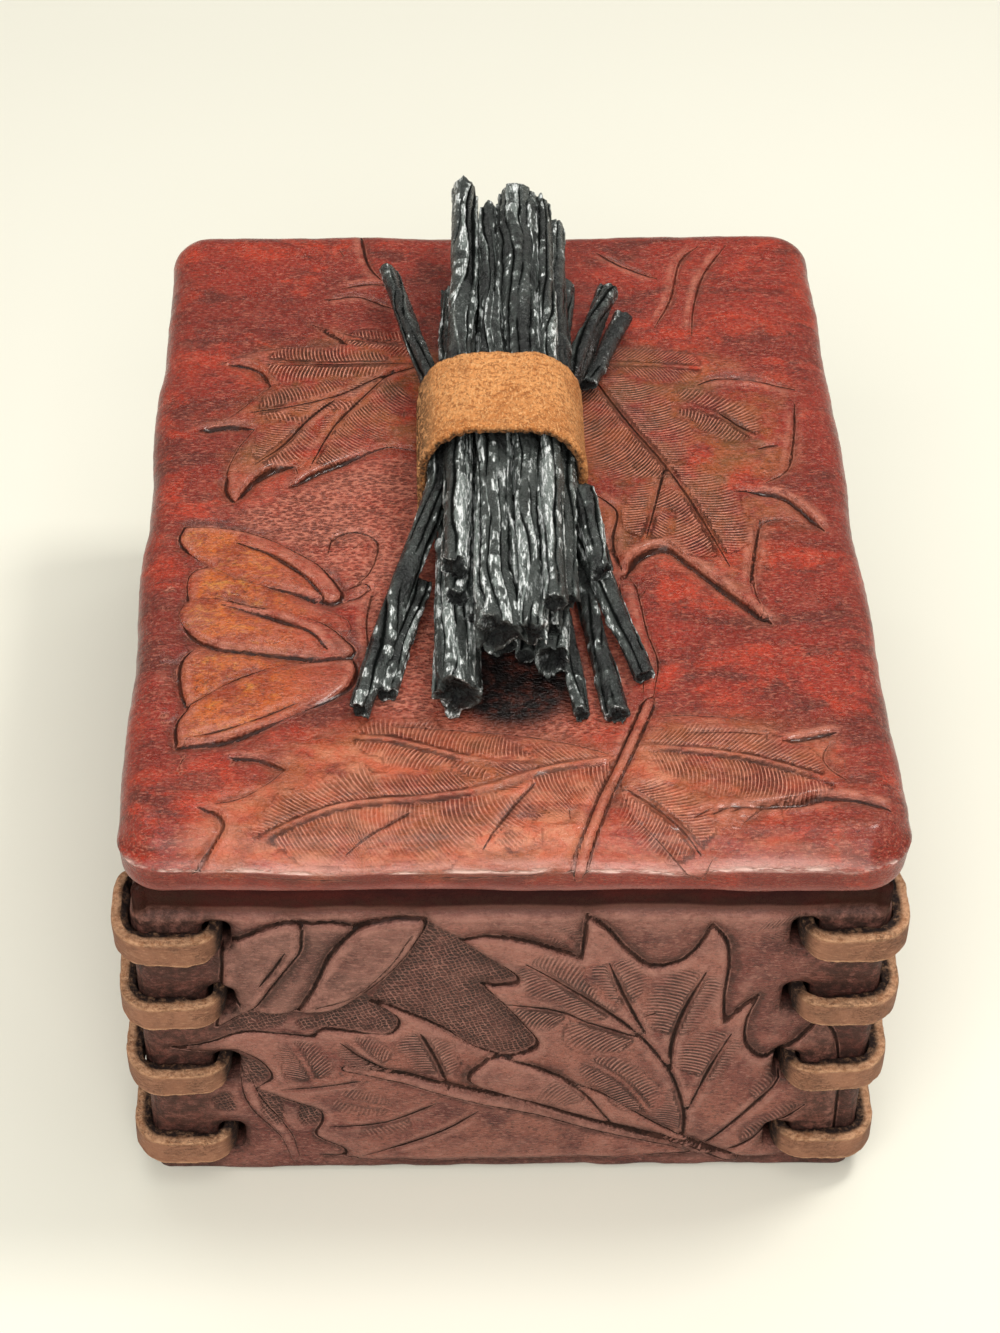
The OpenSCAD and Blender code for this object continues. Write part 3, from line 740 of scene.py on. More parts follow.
    # large leaf on the right
    R.shape([
        [(2, 40), (12, 43), (22, 42.6), (33, 41.2), (40, 39.4), (47.5, 37)], [(47.5, 37), (43, 35), (38.6, 33)],
        [(38.6, 33), (46, 33.2), (53, 30)], [(53, 30), (51.6, 18), (50, 9), (46, 5), (41, 2.6)],
        [(41, 2.6), (48.4, 0.6), (54, -7.6)], [(54, -7.6), (47.4, -5), (43.6, -6.4), (42.2, -13), (41, -22), (43, -30.4)],
        [(43, -30.4), (35.5, -22), (30.5, -16), (27, -12.2), (22.6, -14), (20, -19.6)], [(20, -19.6), (15, -5), (6, 10), (1, 26), (2, 40)]],
        rise=0.3, bevel=0.2, bw=1.8, tint=0.85, green=0.8, seed=41, wave=0.6, **soft)
    m4 = [(17.5, 33.5), (23, 20.6), (28, 10.4), (32.6, -1.6), (37.4, -17)]
    b4 = [(28.4, 8.4), (26, -2), (23.8, -11)]
    R.hatch(m4, -1, d1=11, t0=-0.05, t1=0.56, lean=0.9, pitch=0.85, seed=42)
    R.hatch(m4, 1, d1=10, t0=-0.05, t1=0.50, lean=0.7, pitch=0.85, seed=43)
    R.hatch(m4, 1, d1=7.5, t0=0.50, t1=0.95, lean=0.6, pitch=0.85, seed=44)
    R.hatch(m4, -1, d1=7.0, t0=0.56, t1=0.95, lean=0.6, pitch=0.85, seed=45)
    R.hatch(b4, 0, d1=4.6, t0=0.15, t1=0.95, lean=0.7, seed=46)
    R.hatch([(16, 38), (26, 37.4), (38, 36)], 0, d1=5.0, t0=0.0, t1=0.96, lean=1.0, pitch=0.85, amp=0.8, seed=47)
    R.hatch([(31, 27), (39, 22.6), (46, 15)], 0, d1=5.5, t0=-0.05, t1=0.9, lean=0.5, amp=0.75, seed=48)
    R.cut(m4, w=0.36, depth=0.42, lip=0.12, ends=(0.1, 0.35))
    R.cut(b4, w=0.32, depth=0.3, lip=0.08, ends=(0.05, 0.6), dark=0.85)
    R.cut([(36, 31.4), (39.6, 33.4), (46, 33), (53, 30)], w=0.65, depth=0.7, lip=0.25, bevel=0.4, side=1, bw=2, ends=(0.3, 0.2))
    R.cut([(39, 23.4), (41.6, 20.6), (44, 18.2)], w=0.36, depth=0.35)
    R.cut([(45, 13.4), (46.6, 14.2), (48.4, 14.4)], w=0.42, depth=0.4)
    R.cut([(52.6, 26), (51.6, 17), (49.6, 8)], w=0.36, depth=0.3, lip=0.12, dark=0.7)
    R.cut([(40.4, 2.4), (44, 2.2), (48.5, 0.5), (54, -7.8)], w=0.6, depth=0.65, lip=0.2, bevel=0.45, side=-1, bw=2, ends=(0.3, 0.15))
    R.cut([(43.6, -5), (42, -12.6), (40.4, -21)], w=0.45, depth=0.3, lip=0.2, dark=0.75)
    R.cut([(20, -19.6), (22.4, -14.2), (27, -12), (30.6, -16), (35.6, -22), (43, -30.4)], w=0.62, depth=0.7, lip=0.28, bevel=0.55, side=-1, bw=2.2, ends=(0.12, 0.1))
    # stem up to it
    R.ridge([(22, -47), (22.6, -40), (21.4, -33), (20.6, -25), (20, -19.6)], w=1.1, height=0.20, groove=0.12, dark=0.5, ends=(0.3, 0.1))
    R.cut([(20, -19.6), (18.4, -11), (19.6, -4), (18.4, -1), (15, 2.4)], w=0.36, depth=0.3, lip=0.15, dark=0.75)
    # front leaf
    R.shape([
        [(15.6, -60), (6, -56.6), (-8, -54.4), (-20, -53.6), (-28, -55.6), (-36, -58.6), (-43.4, -60)], [(-43.4, -60), (-38.6, -60.6), (-34.6, -62.6)],
        [(-34.6, -62.6), (-37, -65.6), (-41, -68.6), (-47.4, -70.4)], [(-47.4, -70.4), (-44.8, -71.6), (-43.6, -74.2)],
        [(-43.6, -74.2), (-45, -78), (-48, -83)], [(-48, -83), (-30, -84), (-8, -84), (8, -82)], [(8, -82), (13, -70), (15.6, -60)]],
        rise=0.3, bevel=0.2, bw=1.8, tint=0.9, green=0.3, seed=61, wave=0.75, **soft)
    m2 = [(15.6, -61), (6, -63), (-5, -67.4), (-13.5, -69), (-20, -69.6), (-27, -71), (-36, -76), (-41.5, -82)]
    u2 = [(5.4, -62.6), (-4, -61.6), (-12.5, -58.6), (-18.6, -56.4), (-26, -55.6)]
    R.hatch(m2, -1, d1=6.5, t0=0.02, t1=0.92, lean=0.75, pitch=0.82, seed=62)
    R.hatch(m2, 1, d1=10.5, t0=0.0, t1=0.90, lean=0.35, pitch=0.82, seed=63)
    R.hatch(u2, 1, d1=5.6, t0=0.05, t1=0.95, lean=0.4, pitch=0.82, seed=64)
    R.hatch(u2, -1, d1=5.6, t0=0.0, t1=0.95, lean=0.4, pitch=0.82, seed=65)
    R.ridge(m2, w=0.55, height=0.4, groove=0.22, dark=0.8, ends=(0.02, 0.3))
    R.ridge(u2, w=0.42, height=0.28, groove=0.16, dark=0.65, ends=(0.02, 0.3))
    R.cut([(-15.6, -72), (-20, -75.4), (-25, -79.5)], w=0.36, depth=0.32, ends=(0.05, 0.5))
    R.cut([(3.6, -66), (-0.4, -71.6), (-4.6, -79)], w=0.32, depth=0.3, ends=(0.05, 0.5))
    R.hatch([(3.6, -66), (-0.4, -71.6), (-4.6, -79)], 0, d1=5.4, t0=0.0, t1=0.95, lean=0.7, pitch=0.82, seed=66)
    R.cut([(-43.4, -60), (-38.6, -60.6), (-34.4, -62.8)], w=0.5, depth=0.5, bevel=0.4, side=-1, bw=2)
    R.cut([(-47.4, -70.4), (-44.8, -71.6), (-43.5, -74.2), (-45, -78.4), (-48, -83)], w=0.5, depth=0.5, bevel=0.45, side=-1, bw=2, ends=(0.1, 0.2))
    # leaf at the right of the front
    R.shape([
        [(18.6, -58), (22, -52.4), (31, -51.8), (39, -53.4), (44, -56)], [(44, -56), (47, -55.4), (51, -55.2)], [(51, -55.2), (48, -60), (48.6, -63), (52, -66.6)],
        [(52, -66.6), (46, -68.6), (38, -71), (30, -80), (28, -84)], [(28, -84), (20, -76), (16.6, -67), (18.6, -58)]],
        rise=0.28, bevel=0.2, bw=1.8, tint=0.85, green=0.35, seed=71, wave=0.75, **soft)
    m3 = [(19.6, -58.6), (25.5, -59), (35.5, -60.6), (42.6, -63), (51, -66.8)]
    w3 = [(17.4, -67.4), (22.5, -72.6), (28, -80)]
    R.hatch(m3, 1, d1=5.4, t0=0.05, t1=0.88, lean=0.9, pitch=0.82, seed=72)
    R.hatch(m3, -1, d1=8.0, t0=0.04, t1=0.95, lean=0.7, pitch=0.82, seed=73)
    R.hatch(w3, 0, d1=6.0, t0=0.0, t1=0.95, lean=0.8, pitch=0.82, seed=74)
    R.ridge(m3, w=0.5, height=0.34, groove=0.2, dark=0.75, ends=(0.02, 0.3))
    R.cut(w3, w=0.32, depth=0.32, ends=(0.05, 0.4))
    R.cut([(27, -55.6), (36, -55.6), (43, -56.4)], w=0.3, depth=0.2, lip=0.15, dark=0.65)
    R.cut([(42, -57.2), (45.4, -56.6), (50.6, -55.4)], w=0.5, depth=0.5, lip=0.2, bevel=0.35, side=-1, bw=2)
    R.cut([(37, -71.2), (43.4, -70), (46, -69), (51, -69.6), (57, -71.8)], w=0.62, depth=0.7, lip=0.3, bevel=0.4, side=-1, bw=2, ends=(0.35, 0.1))
    for k in range(7):
        R.cut([(27 + 2.6 * k, -73.6 + 0.5 * k), (30 + 2.6 * k, -71.6 + 0.3 * k), (33.6 + 2.4 * k, -71.4 + 0.2 * k)], w=0.3, depth=0.22, lip=0.16, dark=0.55)
    # main stem at the front
    R.ridge([(22.2, -48), (19.2, -56), (17, -61.6), (14, -68.6), (10.4, -80), (9.6, -84)], w=0.78, height=0.34, groove=0.25, dark=0.85, gw=0.34, ends=(0.04, 0.06))
    R.cut([(21.4, -48.6), (18.2, -56.4), (16.0, -62), (13.0, -69), (9.6, -79)], w=0.3, depth=0.2, lip=0.1, dark=0.6)
    # blossom: two petals behind, three in front, the upper ones folded over along one side
    face = dict(petal=1, wave=0.55, wash_and_shade=0.85, halo=1.4, w=0.42, depth=0.5, over=True, lip=0.22)
    R.shape([[(-25.4, -29.4), (-31, -25), (-38, -19.6), (-46, -15.6)], [(-46, -15.6), (-50.4, -17), (-51.8, -20), (-51.4, -26)],
             [(-51.4, -26), (-43, -30), (-33, -33), (-25.6, -33)], [(-25.6, -33), (-24.8, -31.4), (-25.4, -29.4)]], rise=0.35, bevel=0.5, bw=1.3, seed=81, **face)
    R.shape([[(-25, -36), (-33, -36), (-44, -34.6), (-49, -34.6)], [(-49, -34.6), (-51.8, -39), (-51.6, -45), (-50, -50)],
             [(-50, -50), (-41, -46.4), (-32, -42), (-25, -40)], [(-25, -40), (-24.4, -38), (-25, -36)]], rise=0.35, bevel=0.5, bw=1.3, seed=82, **face)
    R.shape([[(-24.6, -38), (-33, -39), (-42, -42.6), (-50, -48.6)], [(-50, -48.6), (-51.8, -53), (-51.4, -57.8)],
             [(-51.4, -57.8), (-44, -56.4), (-34, -51.4), (-28, -47.6)], [(-28, -47.6), (-24.8, -44.4), (-23.8, -40.6), (-24.6, -38)]], rise=0.5, bevel=0.6, bw=1.4, seed=83, **face)
    R.shape([[(-24.6, -35.4), (-28.6, -31), (-33, -28.8), (-40, -26.6), (-46, -24.6), (-51.6, -24.4)], [(-51.6, -24.4), (-52.8, -28), (-50.4, -33), (-46, -36)],
             [(-46, -36), (-37, -37.4), (-29.6, -38.2), (-24.8, -37.6)], [(-24.8, -37.6), (-24.2, -36.6), (-24.6, -35.4)]], rise=0.5, bevel=0.6, bw=1.4, seed=84, **face)
    R.shape([[(-26.4, -22.6), (-28.4, -18.8), (-32, -14.4), (-40, -8.6), (-47, -6.2), (-53, -6)], [(-53, -6), (-53.8, -9.6), (-52, -13), (-48.6, -16.4)],
             [(-48.6, -16.4), (-42, -20.4), (-35, -22.8), (-28, -25.2)], [(-28, -25.2), (-26.6, -24.4), (-26.4, -22.6)]], rise=0.5, bevel=0.6, bw=1.4, seed=85, **face)
    R.cut([(-44, -10.8), (-39, -13.2), (-35, -16.6), (-32, -20), (-29, -24.8)], w=0.52, depth=0.55, lip=0.26, bevel=0.35, side=-1, bw=1.2, ends=(0.3, 0.05))
    R.cut([(-46, -25.8), (-40, -28), (-36, -29.8), (-31.4, -32.4), (-28.6, -36.6)], w=0.5, depth=0.5, lip=0.26, bevel=0.35, side=-1, bw=1.2, ends=(0.3, 0.05))
    R.cut([(-50, -56.2), (-42, -53.4), (-33, -48.6)], w=0.3, depth=0.3, lip=0.22, dark=0.7)
    # the folds are redder, and so are the petals towards the stem
    R.pet *= 1 - 0.75 * smooth(-38, -26, R.X) * (R.X < -18)
    for fold in ([(-43, -9.4), (-36, -13.8), (-31, -18.6), (-28, -23.4)], [(-42, -27), (-34, -29.8), (-29, -32.6), (-26.6, -36)]):
        P = cr(fold)
        sl, x, y = R.win(P, 3.0)
        d, t, sd, L, ex, ey = near(P, x, y)
        R.pet[sl] *= 1 - 0.7 * smooth(1.6, 0.7, d)
    # worn marks fanning out from the petal tips
    rng = np.random.RandomState(17)
    for x, y, a in ((-54.6, -9, 180), (-53.4, -21.5, 185), (-54.2, -29, 190), (-53.2, -41, 190), (-53, -52, 195), (-50, -59.4, 245), (-42, -57.6, 245)):
        for k in range(5):
            b = math.radians(a + rng.uniform(-16, 16))
            dx, dy = rng.uniform(-0.4, 0.4), rng.uniform(-3.6, 3.6)
            l = rng.uniform(1.2, 2.6)
            R.cut([(x + dx, y + dy), (x + dx + l * math.cos(b), y + dy + l * math.sin(b))], w=0.4, depth=0.08, lip=0.02, dark=0.0, wash_and_shade=0.5)
    # receptacle and curl beside the blossom
    R.cut([(-27.6, -24.6), (-24, -24), (-21.6, -21.8), (-22.4, -30), (-21.4, -38.6), (-19, -47)], w=0.32, depth=0.26, lip=0.16, dark=0.55, ends=(0.1, 0.3))
    R.cut([(-29, -13), (-28, -9), (-24.5, -7.4), (-21, -9.6), (-21, -14), (-22.6, -18.6), (-25, -21)], w=0.34, depth=0.26, lip=0.16, bevel=0.2, side=-1, bw=2.0, dark=0.5)
    R.cut([(-26, -22), (-23, -20.4), (-21.4, -21.8)], w=0.3, depth=0.25, dark=0.8)
    # small press marks and unevenness of the hide
    rng = np.random.RandomState(5)
    for _ in range(22):
        x, y = rng.uniform(-55, 55), rng.uniform(-74, 76)
        a = rng.uniform(0, math.pi)
        l = rng.uniform(1.0, 3.0)
        R.cut([(x, y), (x + l * math.cos(a), y + l * math.sin(a))], w=0.3, depth=0.10, lip=0.03, dark=rng.uniform(0.0, 0.2), wash_and_shade=0.2)
    R.h += 0.32 * fbm(R.X / 22, R.Y / 22, 3, 3) + 0.10 * fbm(R.X / 5.5, R.Y / 4.0, 7, 3) + 0.035 * fbm(R.X / 1.6, R.Y / 1.2, 9, 2)
    R.h += R.st * 0.05 * vnoise(R.X / 0.9, R.Y / 0.9, 13)
    # the tints of the leaves fade into the ground
    R.leaf, R.grn = blur(R.leaf, 5), blur(R.grn, 7)
    # pale is a painted sheen over the front leaf and the front of the lid
    R.pale = blur(np.clip(R.leaf * smooth(-46, -57, R.Y) + 0.4 * smooth(-60, -76, R.Y) * smooth(60, 40, np.abs(R.X)), 0, 1), 6)
    R.tidy()
    R.hollows()
    return R


def build_lid():
    R = carve_lid()
    W2, D2, zt, zb = 60.0, 80.0, 82.0, 71.5
    e, r0, e2 = 5.0, 2.4, 2.0
    ax, ay = W2 - e, D2 - e
    p = 0.48
    nx, ny = int(2 * ax / p) + 1, int(2 * ay / p) + 1
    X, Y = np.meshgrid(np.linspace(-ax, ax, nx), np.linspace(-ay, ay, ny))
    # round the four plan corners of the flat part
    cx, cy = np.abs(X) - (ax - r0), np.abs(Y) - (ay - r0)
    m = (cx > 0) & (cy > 0)
    u, v = np.clip(cx / r0, 0, 1), np.clip(cy / r0, 0, 1)
    X = np.where(m, np.sign(X) * (ax - r0 + r0 * u * np.sqrt(1 - v * v / 2)), X)
    Y = np.where(m, np.sign(Y) * (ay - r0 + r0 * v * np.sqrt(1 - u * u / 2)), Y)
    idx = np.arange(nx * ny).reshape(ny, nx)
    loop = np.concatenate([idx[0, :-1], idx[:-1, -1], idx[-1, :0:-1], idx[:0:-1, 0]])
    bx, by = X.ravel()[loop], Y.ravel()[loop]
    # outward direction along the boundary
    qx, qy = np.clip(bx, -(ax - r0), ax - r0), np.clip(by, -(ay - r0), ay - r0)
    nxv, nyv = bx - qx, by - qy
    ln = np.hypot(nxv, nyv)
    nxv, nyv = nxv / ln, nyv / ln
    n = len(loop)
    seg = np.hypot(np.diff(np.append(bx, bx[0])), np.diff(np.append(by, by[0])))
    arc = np.concatenate([[0], np.cumsum(seg)[:-1]])
    per = seg.sum()
    cells = 26
    la = arc / per * cells
    wob = 0.62 * fbm(la, la * 0, 31, 2, cells) + 0.10 * vnoise(la * 3, la * 0 + 3.3, 32, cells * 3)     # in and out
    sag = 0.55 * fbm(la, la * 0 + 7.7, 33, 3, cells)                                                       # lower edge up and down
    # across the edge: a shoulder, the side and a rounded lower edge. Along the front the shoulder ends in a wavy arris
    front = smooth(-69, -74, by)
    drop = 4.2 + front * (0.2 + 1.3 * fbm(la * 1.5, la * 0 + 2.2, 36, 3, 39))
    a1, a2, a3 = 6.9, 6.9 + zt - zb - 4.2 - e2, 6.9 + zt - zb - 4.2 - e2 + e2 * math.pi / 2
    ds = np.concatenate([np.linspace(0, a1, 14)[1:], np.linspace(a1, a2, 7)[1:], np.linspace(a2, a3, 7)[1:]])
    rings, rx, ry, rd = [], [], [], []
    for d in ds:
        if d <= a1 + 1e-6:
            u = d / a1
            g = 1.7 * drop / e * u ** 0.7
            o = (1 - front) * e * math.sin(u * math.pi / 2) + front * e * u
            z = zt - drop * ((1 - front) * (1 - math.cos(u * math.pi / 2)) + front * u ** 1.7)
            t = (1 - front) * math.sin(u * math.pi / 2) + front * g / np.sqrt(1 + g * g)
            nz = (1 - front) * math.cos(u * math.pi / 2) + front / np.sqrt(1 + g * g)
        elif d <= a2 + 1e-6:
            w = (d - a1) / (a2 - a1)
            o, z, t, nz = e - 0.25 * w * front, zt - drop - w * (zt - drop - zb - e2), 1.0, 0.0
        else:
            f = (d - a2) / e2
            o, z, t, nz = e - 0.25 * front - e2 + e2 * math.cos(f), zb + e2 - e2 * math.sin(f), math.cos(f), -math.sin(f)
        k = d / a3
        hh = R.at("h", bx + nxv * d, by + nyv * d) * float(smooth(0.70, 0.40, np.array(k)))
        edge = smooth(0.0, 0.45, np.array(k)) * smooth(1.02, 0.8, np.array(k))
        lump = hh + float(edge) * (wob - 0.15) + 0.12 * float(edge) * fbm(la * 5, np.full(n, d / 5.0), 35, 3, cells * 5)
        lump = lump + 0.22 * front * math.exp(-((d - a1) / 0.8) ** 2)
        off = o + lump * t
        low = float(smooth(0.45, 1.0, np.array(k)))
        zz = z + lump * nz + low * (0.35 + sag * 0.6)
        rings.append(np.stack([bx + nxv * off, by + nyv * off, np.maximum(zz, zb + 0.03)], 1))
        rx.append(bx + nxv * d)
        ry.append(by + nyv * d)
        rd.append(np.full(n, k))
    H = R.at("h", X.ravel(), Y.ravel())
    top = np.stack([X.ravel(), Y.ravel(), zt + np.clip(H, -1.6, 1.2)], 1)
    # under the band and bundle the face stays a little low, so that they rest on it
    V = np.vstack([top] + rings)
    PX = np.concatenate([X.ravel()] + rx)
    PY = np.concatenate([Y.ravel()] + ry)
    edge = np.concatenate([np.zeros(nx * ny)] + rd)
    under = (np.abs(V[:, 0]) < 14.6) & (V[:, 1] > -6) & (V[:, 1] < 15) & (edge == 0)
    V[under, 2] = np.minimum(V[under, 2], zt - 0.05)
    quads = [grid_quads(ny, nx)]
    prev = loop
    for k in range(len(ds)):
        cur = nx * ny + k * n + np.arange(n)
        quads.append(np.stack([prev, cur, np.roll(cur, -1), np.roll(prev, -1)], 1))
        prev = cur
    quads = np.vstack(quads)
    bottom = prev[::-1]
    s = 1.0 / 190.0
    U = np.stack([(PX + 75) * s, (PY + 95) * s], 1)
    quv = U[quads]
    buv = np.stack([0.80 + 0.19 * (V[bottom, 0] + 60) / 120, 0.01 + 0.25 * (V[bottom, 1] + 80) / 160], 1)
    attrs = {k: R.at(k, PX, PY) for k in LOOK}
    attrs["edge"] = edge
    attrs["pale"] *= smooth(0.50, 0.34, edge)
    # the top arris is worn and shiny, most of all along the front
    # painted highlights: a thin line along the top arris, strongest along the front, and a broad sheen on the front
    # shoulder; both are made glossier too
    attrs["arris"] = np.exp(-((edge - a1 / a3) / 0.024) ** 2) * np.concatenate([0 * X.ravel()] + [np.maximum(front, 0.10)] * len(ds))
    attrs["shoulder_sheen"] = np.exp(-((edge - 0.435) / 0.065) ** 2) * np.concatenate([0 * X.ravel()] + [front] * len(ds)) * smooth(57, 43, np.abs(PX))
    attrs["brd"] = smooth(17, 1, np.concatenate([np.minimum(W2 - np.abs(X), 14 + D2 - np.abs(Y)).ravel()] + [0 * k for k in rd])) * smooth(-86, -66, PY)
    # painted shadow under the bundle, darkest under its front end
    attrs["bundle_shadow"] = np.maximum(smooth(1.12, 0.72, np.hypot((PX - 0.5) / 12.5, (PY + 40) / 15.5)), smooth(1.1, 0.7, np.hypot(PX / 13, (PY - 8) / 55)) * 0.75)
    me = make_mesh("lid_slab", V, quads, [bottom], attrs, quv, [buv])
    return add("lid_slab", me, MAT_LID, "lid", ["lid_panel"])


# ------------------------------------------------------------------ walls

HOLE_Z = (9.0, 27.5, 44.5, 60.0)


def carve_front():
    R = Relief(-64, 64, -6, 78, 0.36)
    R.ground([(-13.5, 64), (-8, 60), (-4, 56), (2, 50), (-3, 48), (2, 40), (5, 34), (3, 31), (-2, 31), (-11, 36.5), (-17, 42), (-22, 44), (-17, 54)], "ms", 1.0, 0.45, 0.7)
    R.ground([(-34, 39.6), (-27.5, 42), (-22.5, 45.5), (-17.6, 40), (-18, 36.8), (-22, 36.8), (-29.5, 37.4), (-33, 37)], "ms", 1.0, 0.4, 0.6)
    R.ground([(-46, 37), (-41.5, 41.5), (-35.6, 41.4), (-36, 38.4), (-41, 36.8)], "ms", 0.9, 0.3, 0.6)
    # bud petals
    bud = dict(petal=0.6, wave=0.15, wash_and_shade=1.0, halo=1.5, w=0.42, over=True, lip=0.2, sag=0.17)
    R.shape([[(-33.6, 41.6), (-28.6, 48.4), (-25.5, 57), (-22.8, 63)], [(-22.8, 63), (-27.6, 65.4), (-32.6, 64.6)], [(-32.6, 64.6), (-35, 56.6), (-39.5, 48), (-42, 42)], [(-42, 42), (-37, 41), (-33.6, 41.6)]],
            rise=0.3, bevel=0.6, bw=1.6, seed=101, **bud)
    R.shape([[(-46.6, 38), (-45.6, 46), (-45, 53), (-44.4, 58), (-39.5, 63), (-34.6, 65.6)], [(-34.6, 65.6), (-32.4, 64.6), (-32.4, 61.4), (-33, 56.4), (-37.4, 48), (-41, 42.2), (-46.6, 38)]],
            rise=0.5, bevel=0.7, bw=1.8, seed=102, **bud)
    R.shape([[(-33.6, 41.4), (-30.6, 48.4), (-27.6, 57), (-23.6, 63.6), (-18.5, 66), (-13.4, 66)], [(-13.4, 66), (-13.4, 63), (-17, 54), (-22.5, 46.5), (-27.6, 42.2), (-33.6, 41.4)]],
            rise=0.55, bevel=0.75, bw=1.8, seed=103, **bud)
    R.cut([(-35, 57), (-37, 52.5), (-39.4, 48.6)], w=0.42, depth=0.4, bevel=0.25, side=1, bw=1.6)
    R.cut([(-32, 42.8), (-25, 45.4), (-19, 53), (-15.2, 61)], w=0.36, depth=0.35, lip=0.15, bevel=0.3, side=-1, bw=1.6, dark=0.85)
    R.cut([(-44, 46), (-43, 44.2), (-42.6, 43)], w=0.5, depth=0.4)
    # leaf at the lower left
    R.shape([[(-54, 33), (-47.5, 34.6), (-41.5, 37), (-31, 35.6)], [(-31, 35.6), (-29.6, 37.4), (-22, 36.4), (-18.4, 36.6), (-17.6, 40), (-22, 43.6)], [(-22, 43.6), (-17, 42), (-10, 37), (-4, 32), (6, 27), (16, 21)],
             [(16, 21), (26, 12), (36, 4)], [(36, 4), (20, 3), (0, 2.5), (-20, 2.5), (-27, 3.4)], [(-27, 3.4), (-27, 6), (-31.4, 9.4), (-30.4, 13), (-30.6, 16), (-34, 18)], [(-34, 18), (-37, 19.6), (-40.6, 22.4), (-38.2, 25), (-40, 29.6), (-43.6, 32)], [(-43.6, 32), (-48, 32), (-54, 33)]],
            rise=0.35, bevel=0.45, bw=2.0, tint=0.7, seed=111, wave=0.45, wash_and_shade=0.7, halo=1.3)
    R.ground([(-43.6, 30.6), (-40.6, 29.4), (-38.6, 25.6), (-40.6, 23.4), (-43.6, 24.6)], "ms", 1.0, 0.4, 0.5)
    R.ground([(-48.5, 20), (-45.4, 21.6), (-44.4, 16.6), (-47.6, 17)], "ms", 1.0, 0.3, 0.5)
    R.ground([(-40.6, 22), (-37, 19.4), (-36.8, 12.6), (-40, 14.6)], "ms", 1.0, 0.35, 0.5)
    R.ground([(-34, 18), (-30.6, 16), (-30.6, 13), (-32.6, 11.6), (-34.4, 13.6)], "ms", 1.0, 0.4, 0.5)
    R.ridge([(-43, 27), (-41, 18), (-36.6, 10), (-35, 3)], w=0.95, height=0.22, groove=0.2, dark=0.5, ends=(0.3, 0.5))
    R.cut([(-27, 6), (-26.4, 4.4), (-27.6, 3.4), (-31, 4)], w=0.4, depth=0.4, bevel=0.3, side=1, bw=1.5)
    l1 = [(-37, 22), (-30.5, 23), (-23.5, 24.6)]
    l2 = [(-29.5, 12), (-21, 13), (-15, 16), (-11.4, 18.6)]
    l3 = [(-25, 3.4), (-15, 8), (-9, 12), (-4.4, 16.4)]
    R.hatch([(-35, 34.6), (-33, 30), (-31.4, 25)], 0, d1=3.6, t0=0.0, t1=1.0, lean=-0.9, amp=1.2, seed=112)
    R.hatch([(-25.6, 35.4), (-23, 31.6), (-20.4, 28.6)], 0, d1=3.4, t0=0.0, t1=1.0, lean=-0.9, amp=1.25, seed=113)
    
    R.hatch([(-14.2, 37.4), (-11.4, 29.6), (-9.4, 22.4)], -1, d1=4.4, t0=0.0, t1=0.72, lean=-0.5, amp=1.25, seed=115)
    R.hatch([(-14.2, 37.4), (-11.4, 29.6), (-9.4, 22.4)], 1, d1=3.4, t0=0.12, t1=0.78, lean=-0.5, amp=0.95, seed=118)
    R.hatch([(-28, 20.6), (-24, 18.6), (-19, 17.4)], 0, d1=3.4, t0=0.0, t1=1.0, lean=0.2, amp=0.5, seed=116)
    R.hatch(l2, -1, d1=3.2, t0=0.25, t1=0.7, lean=0.4, amp=0.7, seed=117)
    for v in (l1, l2, l3):
        R.cut(v, w=0.32, depth=0.3, lip=0.08, ends=(0.3, 0.15), dark=0.9)
    R.cut([(-9.4, 22.4), (-11.4, 29.6), (-14, 36.6)], w=0.45, depth=0.45, ends=(0.05, 0.1))
    R.cut([(-20, 27.6), (-24, 31), (-27, 34.6)], w=0.36, depth=0.35, ends=(0.1, 0.3))
    # large leaf on the right
    R.shape([[(-8, 59), (-4, 60.2), (2.5, 58.8), (8, 56.4), (11, 55)], [(11, 55), (11.4, 59.5), (11.6, 64.4)], [(11.6, 64.4), (14.6, 62), (18, 57), (21.6, 53.2), (25.4, 53.6), (28.4, 56.6), (31, 62.4)],
             [(31, 62.4), (33.4, 58.6), (34.2, 53), (34, 45.6), (34.6, 39)], [(34.6, 39), (36.6, 42), (39.4, 45.4)], [(39.4, 45.4), (38, 39), (38.6, 33), (42, 29.6), (46, 33), (50, 40.4)], [(50, 40.4), (53, 34), (54.5, 22), (55, 10)],
             [(55, 10), (48, 4), (40, 3), (34, 5)], [(34, 5), (16.6, 12.4), (3.6, 18.4), (-6, 24), (-3, 30)], [(-3, 30), (2.6, 30.8), (4.8, 33.6), (1.6, 39.4), (-1.4, 44), (-4.4, 48)], [(-4.4, 48), (-0.4, 48.4), (1.4, 49.6), (-4, 55.4), (-8, 59)]],
            rise=0.5, bevel=0.7, bw=2.4, tint=0.8, seed=121, wave=0.25, w=0.42, wash_and_shade=0.9, halo=1.6, lip=0.18)
    v1 = [(2.5, 54), (8.6, 49), (17, 41), (22, 35), (26.6, 26.6), (29.4, 16.6), (29.8, 9)]
    v2 = [(15.4, 54.4), (18, 46.6), (22, 36.6)]
    v3 = [(30.6, 52), (27.6, 42), (26.4, 34), (26.6, 27)]
    v4 = [(-1, 44), (7.5, 42.6), (13, 39.6), (20.6, 36)]
    v5 = [(35.8, 36.6), (33, 28), (30, 16.6)]
    v6 = [(47, 28), (39.6, 16), (33.4, 6.6)]
    v7 = [(49.4, 18), (42.6, 9.6), (37.4, 4.8)]
    v8 = [(8, 26), (13, 21), (17.6, 13)]
    R.hatch(v1, 0, d1=4.6, t0=-0.02, t1=0.34, lean=-0.6, pitch=0.92, amp=1.25, seed=122)
    R.hatch(v2, 0, d1=4.2, t0=-0.04, t1=0.56, lean=-0.45, pitch=0.92, amp=1.25, seed=123)
